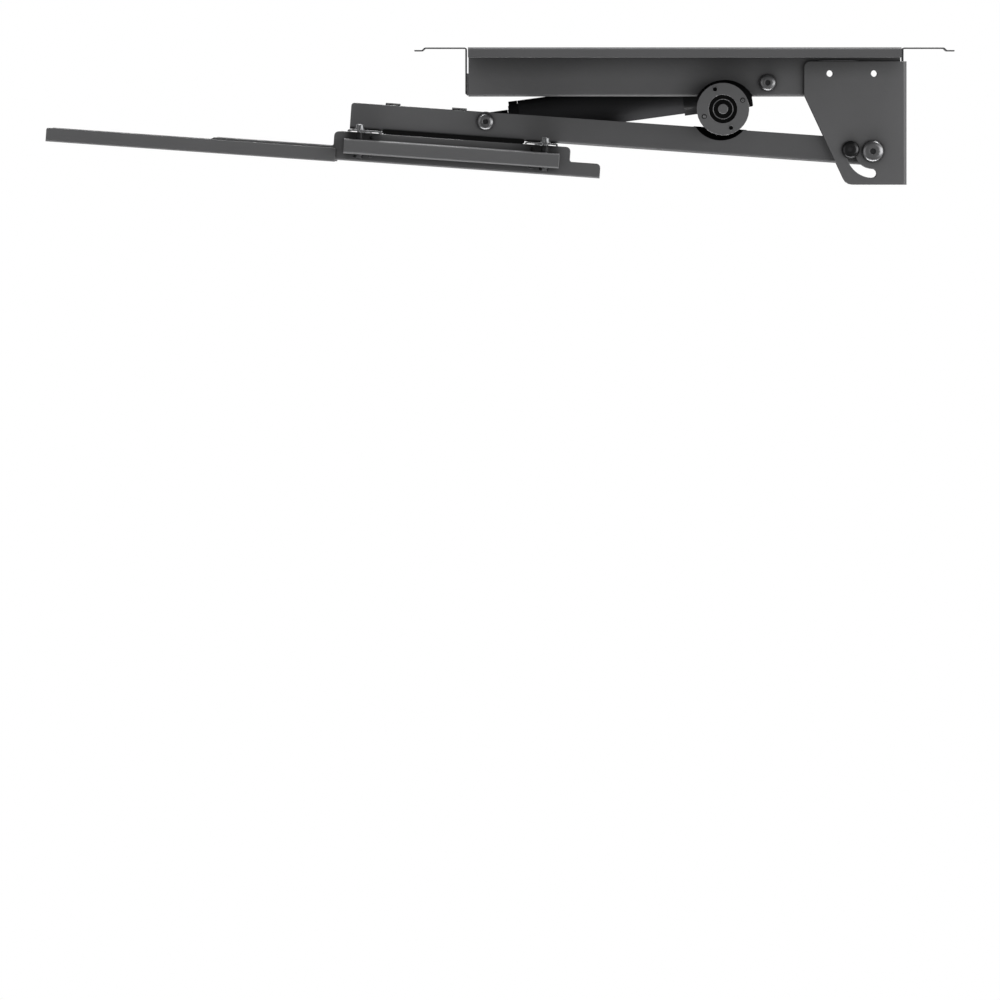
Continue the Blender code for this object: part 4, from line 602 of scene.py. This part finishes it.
def box_mesh(name, size, at=(0, 0, 0), edge=0.0):
    """Block, with rounded edges where an edge radius is given."""
    shape = bmesh.new()
    bmesh.ops.create_cube(shape, size=1)
    bmesh.ops.scale(shape, vec=size, verts=shape.verts)
    if edge:
        bmesh.ops.bevel(shape, geom=shape.edges[:], offset=edge, segments=2, affect="EDGES",
                        profile=0.5)
    bmesh.ops.translate(shape, vec=at, verts=shape.verts)
    return finish_mesh(name, shape)


def joined(name, meshes):
    """One mesh from several that stand apart."""
    shape = bmesh.new()
    for mesh in meshes:
        shape.from_mesh(mesh)
        bpy.data.meshes.remove(mesh)
    return finish_mesh(name, shape)


def cross_cutters(reach, width, top, depth):
    """The two bars that cut a cross recess, one after the other."""
    at = (0, 0, top - depth * 0.3)
    return [box_mesh("bar", (2 * reach, width, depth), at),
            box_mesh("bar", (width, 2 * reach, depth), at)]


def pan_screw(name, radius, height, look, body, base, at, facing, turn):
    """Small screw with a domed head and a cross recess."""
    mesh = lathe(name, dome_profile(radius, height), SMALL_STEPS)
    for bar in cross_cutters(reach=radius * 0.55, width=radius * 0.22, top=height, depth=height * 0.55):
        mesh = cut(mesh, bar)
    place(name, mesh, look, body, base, at, facing, turn)


def socket_screw(name, radius, height, look, body, base, at, facing, turn=0.2):
    """Domed screw with a hexagonal recess."""
    mesh = lathe(name, dome_profile(radius, height), HEAD_STEPS)
    hexagon = prism_mesh("hexagon", 6, radius=radius * 0.42, low=height * 0.4, high=height * 1.2)
    mesh = cut(mesh, hexagon)
    place(name, mesh, look, body, base, at, facing, turn)


def hex_nut(name, radius, bore, height, look, body, base, at, facing, turn):
    """Nut with a flange washer below and chamfered corners above."""
    flange_top = height * RIM_SHARE
    flange = tube_ring("flange", outer=radius * 1.12, inner=bore, low=0, high=flange_top,
                       steps=HEAD_STEPS)
    blank = prism_mesh("blank", 6, radius, flange_top, height)
    hollow = cut(blank, prism_mesh("bore", SMALL_STEPS, bore, -height, 2 * height))
    outside, above = radius * 1.3, height * 1.3
    chamfer = [(0, above), (outside, above), (outside, height * 0.72), (radius * 0.86, height),
               (0, height)]
    shaped = cut(hollow, lathe("chamfer", chamfer, HEAD_STEPS))
    place(name, joined(name, [flange, shaped]), look, body, base, at, facing, turn)


def weld_bead(name, start, end, radius, body):
    """Rippled weld bead along a straight seam, with tapered ends."""
    start, end = Vector(start), Vector(end)
    run = end - start
    profile = []
    for step in range(WELD_RIPPLES + 1):
        swell = 1 + 0.22 * math.sin(step * 2.4) ** 2
        taper = min(1.0, 4 * min(step, WELD_RIPPLES - step) / WELD_RIPPLES + 0.25)
        profile.append((radius * swell * taper, run.length * step / WELD_RIPPLES))
    profile = [(0, 0)] + profile + [(0, run.length)]
    mesh = lathe(name, profile, WELD_STEPS)
    turn = run.to_track_quat("Z", "Y").to_euler()
    place(name, mesh, COATED, body, WORLD, start, turn)


# Detail on the fixed frame

def channel_welds():
    """Stitch welds between the plate and the channel, and between the cheeks and the channel."""
    half = PLATE_WELD_LENGTH / 2
    for word, side in (("near", -1), ("far", 1)):
        seam = side * (CHANNEL_HALF + PLATE_WELD_GAP)
        for index, x in enumerate(PLATE_WELD_PLACES):
            weld_bead(f"plate_weld_{word}_{index + 1}", (x - half, seam, PLATE_WELD_HEIGHT),
                      (x + half, seam, PLATE_WELD_HEIGHT), PLATE_WELD_RADIUS, "ceiling_frame")
    first, last = CHEEK_WELD_ENDS
    for word, side in (("near", -1), ("far", 1)):
        seam = side * (CHEEK_OUTSIDE - CHEEK_WELD_INSET)
        weld_bead(f"cheek_weld_{word}", (first, seam, CHEEK_WELD_HEIGHT),
                  (last, seam, CHEEK_WELD_HEIGHT), CHEEK_WELD_RADIUS, "ceiling_frame")


def lid_details():
    """Screws, pairing button and lamp on the lid of the control box."""
    low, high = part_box("control_box_lid")
    left, right = low.x + LID_SCREW_INSET, high.x - LID_SCREW_INSET
    near, far = low.y + LID_SCREW_INSET, high.y - LID_SCREW_INSET
    for index, (x, y) in enumerate(((left, near), (right, near), (left, far), (right, far))):
        pan_screw(f"lid_screw_{index + 1}", *LID_SCREW, BLACK, "ceiling_frame", WORLD,
                  (x, y, low.z), DOWN, turn=0.5 * index)
    middle = (low + high) / 2
    button = lathe("pairing_button", dome_profile(*LID_BUTTON, flat_share=0.7), HEAD_STEPS)
    place("pairing_button", button, RUBBER, "ceiling_frame", WORLD,
          (middle.x - LID_BUTTON_OFFSET, middle.y, low.z), DOWN)
    lamp = lathe("status_lamp", dome_profile(*LID_LAMP), SMALL_STEPS)
    place("status_lamp", lamp, LENS_RED, "ceiling_frame", WORLD,
          (middle.x + LID_BUTTON_OFFSET, middle.y, low.z), DOWN)


def inlet_pins():
    """Three pins on the floor of the power inlet."""
    low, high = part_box("power_inlet")
    middle = (low + high) / 2
    y = low.y + INLET_FLOOR + INLET_PIN[1] / 2
    for index, (across, up) in enumerate(INLET_PIN_PLACES):
        pin = box_mesh("inlet_pin", INLET_PIN, edge=SOFT_CORNER / 2)
        place(f"inlet_pin_{index + 1}", pin, ZINC, "ceiling_frame", WORLD,
              (middle.x + across, y, middle.z + up))


# Detail on the arm

def arm_fasteners():
    """Bolts that hold the crossbars and the spreader plate to the arm, with their nuts."""
    number = 0
    for end in (-1, 1):
        reach = BRACKET_REACH + end * CROSSBAR_SPACING / 2
        for side in (-1, 1):
            number += 1
            y = side * ARM_BOLT_SPACING / 2
            socket_screw(f"crossbar_bolt_{number}", *CROSSBAR_BOLT, ZINC, "arm", ARM,
                         (-reach, y, ARM_WEB_TOP), UP, turn=0.2 * number)
            hex_nut(f"crossbar_nut_{number}", *CROSSBAR_NUT, ZINC, "arm", ARM,
                    (-reach, y, CROSSBAR_UNDERSIDE - SEAT), DOWN, turn=0.3 * number)
    places = [(-reach, side * SPREADER_SCREW_OFFSET, SPREADER_UNDERSIDE - SEAT)
              for reach in SPREADER_SCREW_REACHES for side in (-1, 1)]
    for index, at in enumerate(places):
        pan_screw(f"spreader_screw_{index + 1}", *SPREADER_SCREW, BLACK, "arm", ARM, at, DOWN,
                  turn=0.4 * index)


def shade_strips():
    """Painted shade: dark strips in the narrow gap between the arm and the bars under it, and along the
    arm's edges.
    """
    high = ARM_WEB_TOP - ARM_SHEET
    edge = ARM_WIDTH / 2
    lip = edge + STRIP_LIP
    for word, side in (("near", -1), ("far", 1)):
        strip = box_mesh("gap_shade_strip", (GAP_STRIP_LENGTH, GAP_STRIP_WIDTH, high - CROSSBAR_TOP))
        place(f"gap_shade_strip_{word}", strip, RUBBER, "arm", ARM,
              (-BRACKET_REACH, side * GAP_STRIP_OFFSET, (high + CROSSBAR_TOP) / 2))
        size = (EDGE_STRIP_LENGTH, lip - EDGE_STRIP_INSIDE, high - SPREADER_UNDERSIDE)
        flat = box_mesh("flat", size, (0, side * (lip + EDGE_STRIP_INSIDE) / 2,
                                       (high + SPREADER_UNDERSIDE) / 2))
        turned_up = box_mesh("lip", (EDGE_STRIP_LENGTH, STRIP_LIP, STRIP_LIP),
                             (0, side * (edge + lip + SEAT) / 2, high + STRIP_LIP / 2))
        place(f"edge_shade_strip_{word}", joined("edge_shade_strip", [flat, turned_up]), RUBBER, "arm", ARM,
              (-BRACKET_REACH, 0, 0))


def clip_pads():
    """Dark pads on the cable clips."""
    y = -(ARM_WIDTH / 2 - ARM_SHEET - CLIP_PAD_INSET)
    z = CLIP_TOP + CLIP_PAD[2] / 2 + SEAT
    for index, reach in enumerate(CLIP_REACHES):
        pad = box_mesh("clip_pad", CLIP_PAD, edge=SOFT_CORNER)
        place(f"clip_pad_{index + 1}", pad, BLACK_AND_RECESS_SHADE, "arm", ARM, (-reach, y, z))


def motor_shade_pad():
    """Painted shade: dark pad inside the arm's far flange, seen through the notch that clears the
    motor.
    """
    pad = box_mesh("motor_shade_pad", MOTOR_SHADE_PAD, edge=SOFT_CORNER)
    y = ARM_WIDTH / 2 - ARM_SHEET - MOTOR_SHADE_PAD[1] / 2 + SEAT
    place("motor_shade_pad", pad, RUBBER, "arm", ARM, (MOTOR_SHADE_PAD_AT[0], y, MOTOR_SHADE_PAD_AT[1]))


# Body, socket radius and head height of the large bolts
BOLT_HEADS = {
    "pivot_bolt_near": ("ceiling_frame", 0.0034, 0.0044),
    "guide_bolt_near": ("arm", 0.0028, 0.0036),
    "rod_bolt_near": ("arm", 0.0031, 0.0042),
    "actuator_bolt": ("ceiling_frame", 0.0031, 0.0042),
    "pivot_bolt_far": ("ceiling_frame", 0.0034, 0.0044),
    "guide_bolt_far": ("arm", 0.0028, 0.0036),
    "rod_bolt_far": ("arm", 0.0031, 0.0042),
}


def socket_floors():
    """Painted shade: dark discs on the floors of the hexagonal recesses in the large bolts."""
    for node, (body, socket, height) in BOLT_HEADS.items():
        low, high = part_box(node)
        far = node.endswith("far")
        depth = SOCKET_DEPTH_SHARE * height
        at = ((low.x + high.x) / 2, high.y - depth if far else low.y + depth, (low.z + high.z) / 2)
        profile = disc_profile(socket * SOCKET_FLOOR_SHARE, SOCKET_FLOOR_THICKNESS)
        disc = lathe("socket_shade_floor", profile, FLOOR_STEPS)
        place("floor_" + node, disc, SOCKET_SHADE, body, WORLD, at, FAR if far else NEAR)


def guide_nuts():
    """Locking nuts on the guide bolts inside the arm."""
    inside = ARM_WIDTH / 2 - ARM_SHEET
    for word, side, facing in (("near", -1, FAR), ("far", 1, NEAR)):
        hex_nut(f"guide_nut_{word}", *GUIDE_NUT, ZINC, "arm", ARM,
                (-GUIDE_REACH, side * (inside - SEAT), 0), facing, turn=0.2)


# Detail on the rails

def rail_fasteners():
    """Rivets, nuts and sleeves of the side bars, and the bolts that join each rail's two pieces."""
    for word, side, facing in (("near", -1, NEAR), ("far", 1, FAR)):
        body = f"rail_{word}"
        for index, reach in enumerate(SIDE_RIVET_REACHES):
            rivet = lathe("rivet", dome_profile(*WEB_RIVET, flat_share=0.3), SMALL_STEPS)
            place(f"web_rivet_{word}_{index + 1}", rivet, BLACK, body, ARM,
                  (-reach, side * RAIL_OUTSIDE, WEB_RIVET_HEIGHT), facing)
            foot = lathe("foot_rivet", dome_profile(*FOOT_RIVET, flat_share=0.5), SMALL_STEPS)
            place(f"bar_rivet_{word}_{index + 1}", foot, BLACK, body, ARM,
                  (-reach, side * (RAIL_OUTSIDE + FOOT_RIVET_OFFSET), SIDE_BAR_BOTTOM), DOWN)
        for label, end in (("inner", -1), ("outer", 1)):
            reach = BRACKET_REACH + end * LOCK_SPACING / 2
            hex_nut(f"lock_nut_{word}_{label}", *LOCK_NUT, BLACK_BOLT, body, ARM,
                    (-reach, side * LOCK_OFFSET, SIDE_BAR_BOTTOM - SEAT), DOWN, turn=0.3)
            sleeve = tube_ring("lock_sleeve", *LOCK_SLEEVE, SIDE_BAR_TOP + SEAT, LOCK_SLEEVE_TOP,
                               HEAD_STEPS)
            place(f"lock_sleeve_{word}_{label}", sleeve, BLACK, body, ARM,
                  (-reach, side * LOCK_OFFSET, 0))
        for index, reach in enumerate(JOINT_BOLT_REACHES):
            socket_screw(f"joint_bolt_{word}_{index + 1}", *JOINT_BOLT, BLACK, body, ARM,
                         (-reach, side * RAIL_OFFSET, RAIL_FLANGE_TOP), UP)


# Detail on the actuator

def gearbox_details():
    """Screws and plug of the gearbox."""
    for index, (y, z) in enumerate(COVER_SCREW_PLACES):
        socket_screw(f"cover_screw_{index + 1}", *COVER_SCREW, STEEL, "actuator", ACTUATOR,
                     (COVER_FACE, y, z), FORWARD, turn=0.3 * index)
    socket_screw("grease_plug", *GREASE_PLUG, STEEL, "actuator", ACTUATOR, GREASE_PLUG_AT, UP)


def motor_details():
    """Seal, vents and screws on the motor's end cap, placed from the motor's axis."""
    motor = centre_of("motor_end_cap")
    motor.y = 0
    axis = Matrix.Translation(motor)

    def add(name, mesh, look, x, z, depth=0):
        place(name, mesh, look, "actuator", axis, (x, depth - MOTOR_FACE, z), NEAR)

    def ring(name, outer, bore, height, steps):
        return tube_ring(name, outer, bore, 0, height, steps)

    add("motor_seal", ring("motor_seal", *MOTOR_SEAL, MOTOR_STEPS), RUBBER, 0, 0, MOTOR_RECESS)
    add("motor_ring", ring("motor_ring", *MOTOR_RING, MOTOR_STEPS), COATED, 0, 0, MOTOR_RECESS)
    for index, (x, z) in enumerate(MOTOR_SCREW_PLACES):
        pan_screw(f"motor_screw_{index + 1}", *MOTOR_SCREW, COATED, "actuator", axis,
                  (x, -MOTOR_FACE, z), NEAR, turn=0.4 + index)
        # A dark ring of painted shade in the gap round each screw
        gap = ring("gap", *MOTOR_SCREW_GAP, HEAD_STEPS)
        add(f"motor_screw_gap_{index + 1}", gap, BLACK_AND_RECESS_SHADE, x, z)
    # Each vent is a dark disc of painted shade inside a rim
    vent = disc_profile(MOTOR_VENT_RIM[1], MOTOR_VENT_DEPTH)
    for index, (x, z) in enumerate(MOTOR_VENT_PLACES):
        rim = ring("vent_rim", *MOTOR_VENT_RIM, HEAD_STEPS)
        add(f"motor_vent_rim_{index + 1}", rim, COATED, x, z)
        add(f"motor_vent_{index + 1}", lathe("vent_floor", vent, HEAD_STEPS), BLACK_AND_RECESS_SHADE, x, z)


# Camera, light and surroundings

def add_camera():
    """Camera that matches the photograph's scale and crop."""
    metres_per_px = PHOTO_MM_PER_PX / 1000
    width = PHOTO_WIDTH_PX * metres_per_px
    x = (PHOTO_WIDTH_PX / 2 - PLATE_CENTRE_PX[0]) * metres_per_px
    z = -(PHOTO_WIDTH_PX / 2 - PLATE_CENTRE_PX[1]) * metres_per_px
    middle = Vector((x, PHOTO_PLANE_Y, z))
    distance = width * LENS_MM / SENSOR_MM
    data = bpy.data.cameras.new("camera")
    data.type = "PERSP"
    data.sensor_width = SENSOR_MM
    data.lens = LENS_MM
    data.clip_start = 1.0
    data.clip_end = 2 * distance
    camera = bpy.data.objects.new("camera", data)
    camera.location = (CAMERA_SIDE, PHOTO_PLANE_Y - distance, CAMERA_HEIGHT)
    camera.rotation_euler = (middle - camera.location).to_track_quat("-Z", "Y").to_euler()
    bpy.context.scene.collection.objects.link(camera)
    bpy.context.scene.camera = camera


def add_lamp(name, at, target, size, power):
    """Large soft lamp."""
    data = bpy.data.lights.new(name, "AREA")
    data.shape = "RECTANGLE"
    data.size, data.size_y = size
    data.energy = power
    lamp = bpy.data.objects.new(name, data)
    lamp.location = at
    lamp.rotation_euler = (Vector(target) - Vector(at)).to_track_quat("-Z", "Y").to_euler()
    bpy.context.scene.collection.objects.link(lamp)


def add_backdrop_share(tree):
    """How much white is mirrored from a direction: none from the dim side, all from the other."""
    coordinates = tree.nodes.new("ShaderNodeTexCoord")
    match = tree.nodes.new("ShaderNodeVectorMath")
    match.operation = "DOT_PRODUCT"
    match.inputs[1].default_value = Vector(DIM_SIDE).normalized()
    tree.links.new(coordinates.outputs["Generated"], match.inputs[0])
    share = tree.nodes.new("ShaderNodeMapRange")
    share.interpolation_type = "SMOOTHSTEP"
    share.inputs["From Min"].default_value, share.inputs["From Max"].default_value = DIM_LIMITS
    tree.links.new(match.outputs["Value"], share.inputs["Value"])
    return share.outputs["Result"]


def add_backdrop(tree, strength):
    """White background of one strength."""
    backdrop = tree.nodes.new("ShaderNodeBackground")
    backdrop.inputs["Color"].default_value = WHITE
    backdrop.inputs["Strength"].default_value = strength
    return backdrop.outputs["Background"]


def add_math(tree, operation, first, second):
    """One sum on the values of two sockets."""
    node = tree.nodes.new("ShaderNodeMath")
    node.operation = operation
    tree.links.new(first, node.inputs[0])
    tree.links.new(second, node.inputs[1])
    return node.outputs["Value"]


def add_light():
    """White surroundings that light less than they show, and the four lamps."""
    world = bpy.data.worlds.new("world")
    world.use_nodes = True
    bpy.context.scene.world = world
    tree = world.node_tree
    tree.nodes.clear()
    path = tree.nodes.new("ShaderNodeLightPath")
    mirrored = add_math(tree, "MULTIPLY", path.outputs["Is Glossy Ray"], add_backdrop_share(tree))
    through = add_math(tree, "MAXIMUM", mirrored, path.outputs["Is Transmission Ray"])
    shown = add_math(tree, "MAXIMUM", path.outputs["Is Camera Ray"], through)
    mix = tree.nodes.new("ShaderNodeMixShader")
    tree.links.new(shown, mix.inputs["Fac"])
    tree.links.new(add_backdrop(tree, ROOM_LIGHT), mix.inputs[1])
    tree.links.new(add_backdrop(tree, 1.0), mix.inputs[2])
    output = tree.nodes.new("ShaderNodeOutputWorld")
    tree.links.new(mix.outputs["Shader"], output.inputs["Surface"])
    for name, (at, target, size, power) in LAMPS.items():
        add_lamp(name, at, target, size, power)


def add_floor():
    """Plain pale floor well below the mount."""
    shape = bmesh.new()
    bmesh.ops.create_grid(shape, x_segments=1, y_segments=1, size=FLOOR_SIZE)
    mesh = finish_mesh("floor", shape)
    look, _, shader = new_material("floor_white")
    shader.inputs["Base Color"].default_value = FLOOR_WHITE
    shader.inputs["Roughness"].default_value = 0.8
    mesh.materials.append(look)
    floor = bpy.data.objects.new("floor", mesh)
    floor.location = FLOOR_AT
    bpy.context.scene.collection.objects.link(floor)


def set_colours():
    """Plain colours, as the photograph has them."""
    scene = bpy.context.scene
    scene.view_settings.view_transform = "Standard"
    scene.view_settings.look = "None"
    scene.view_settings.exposure = 0.0
    scene.view_settings.gamma = 1.0


dress_cad_nodes()
channel_welds()
lid_details()
inlet_pins()
arm_fasteners()
shade_strips()
clip_pads()
motor_shade_pad()
guide_nuts()
socket_floors()
rail_fasteners()
gearbox_details()
motor_details()
add_camera()
add_light()
add_floor()
set_colours()

bpy.context.view_layer.update()
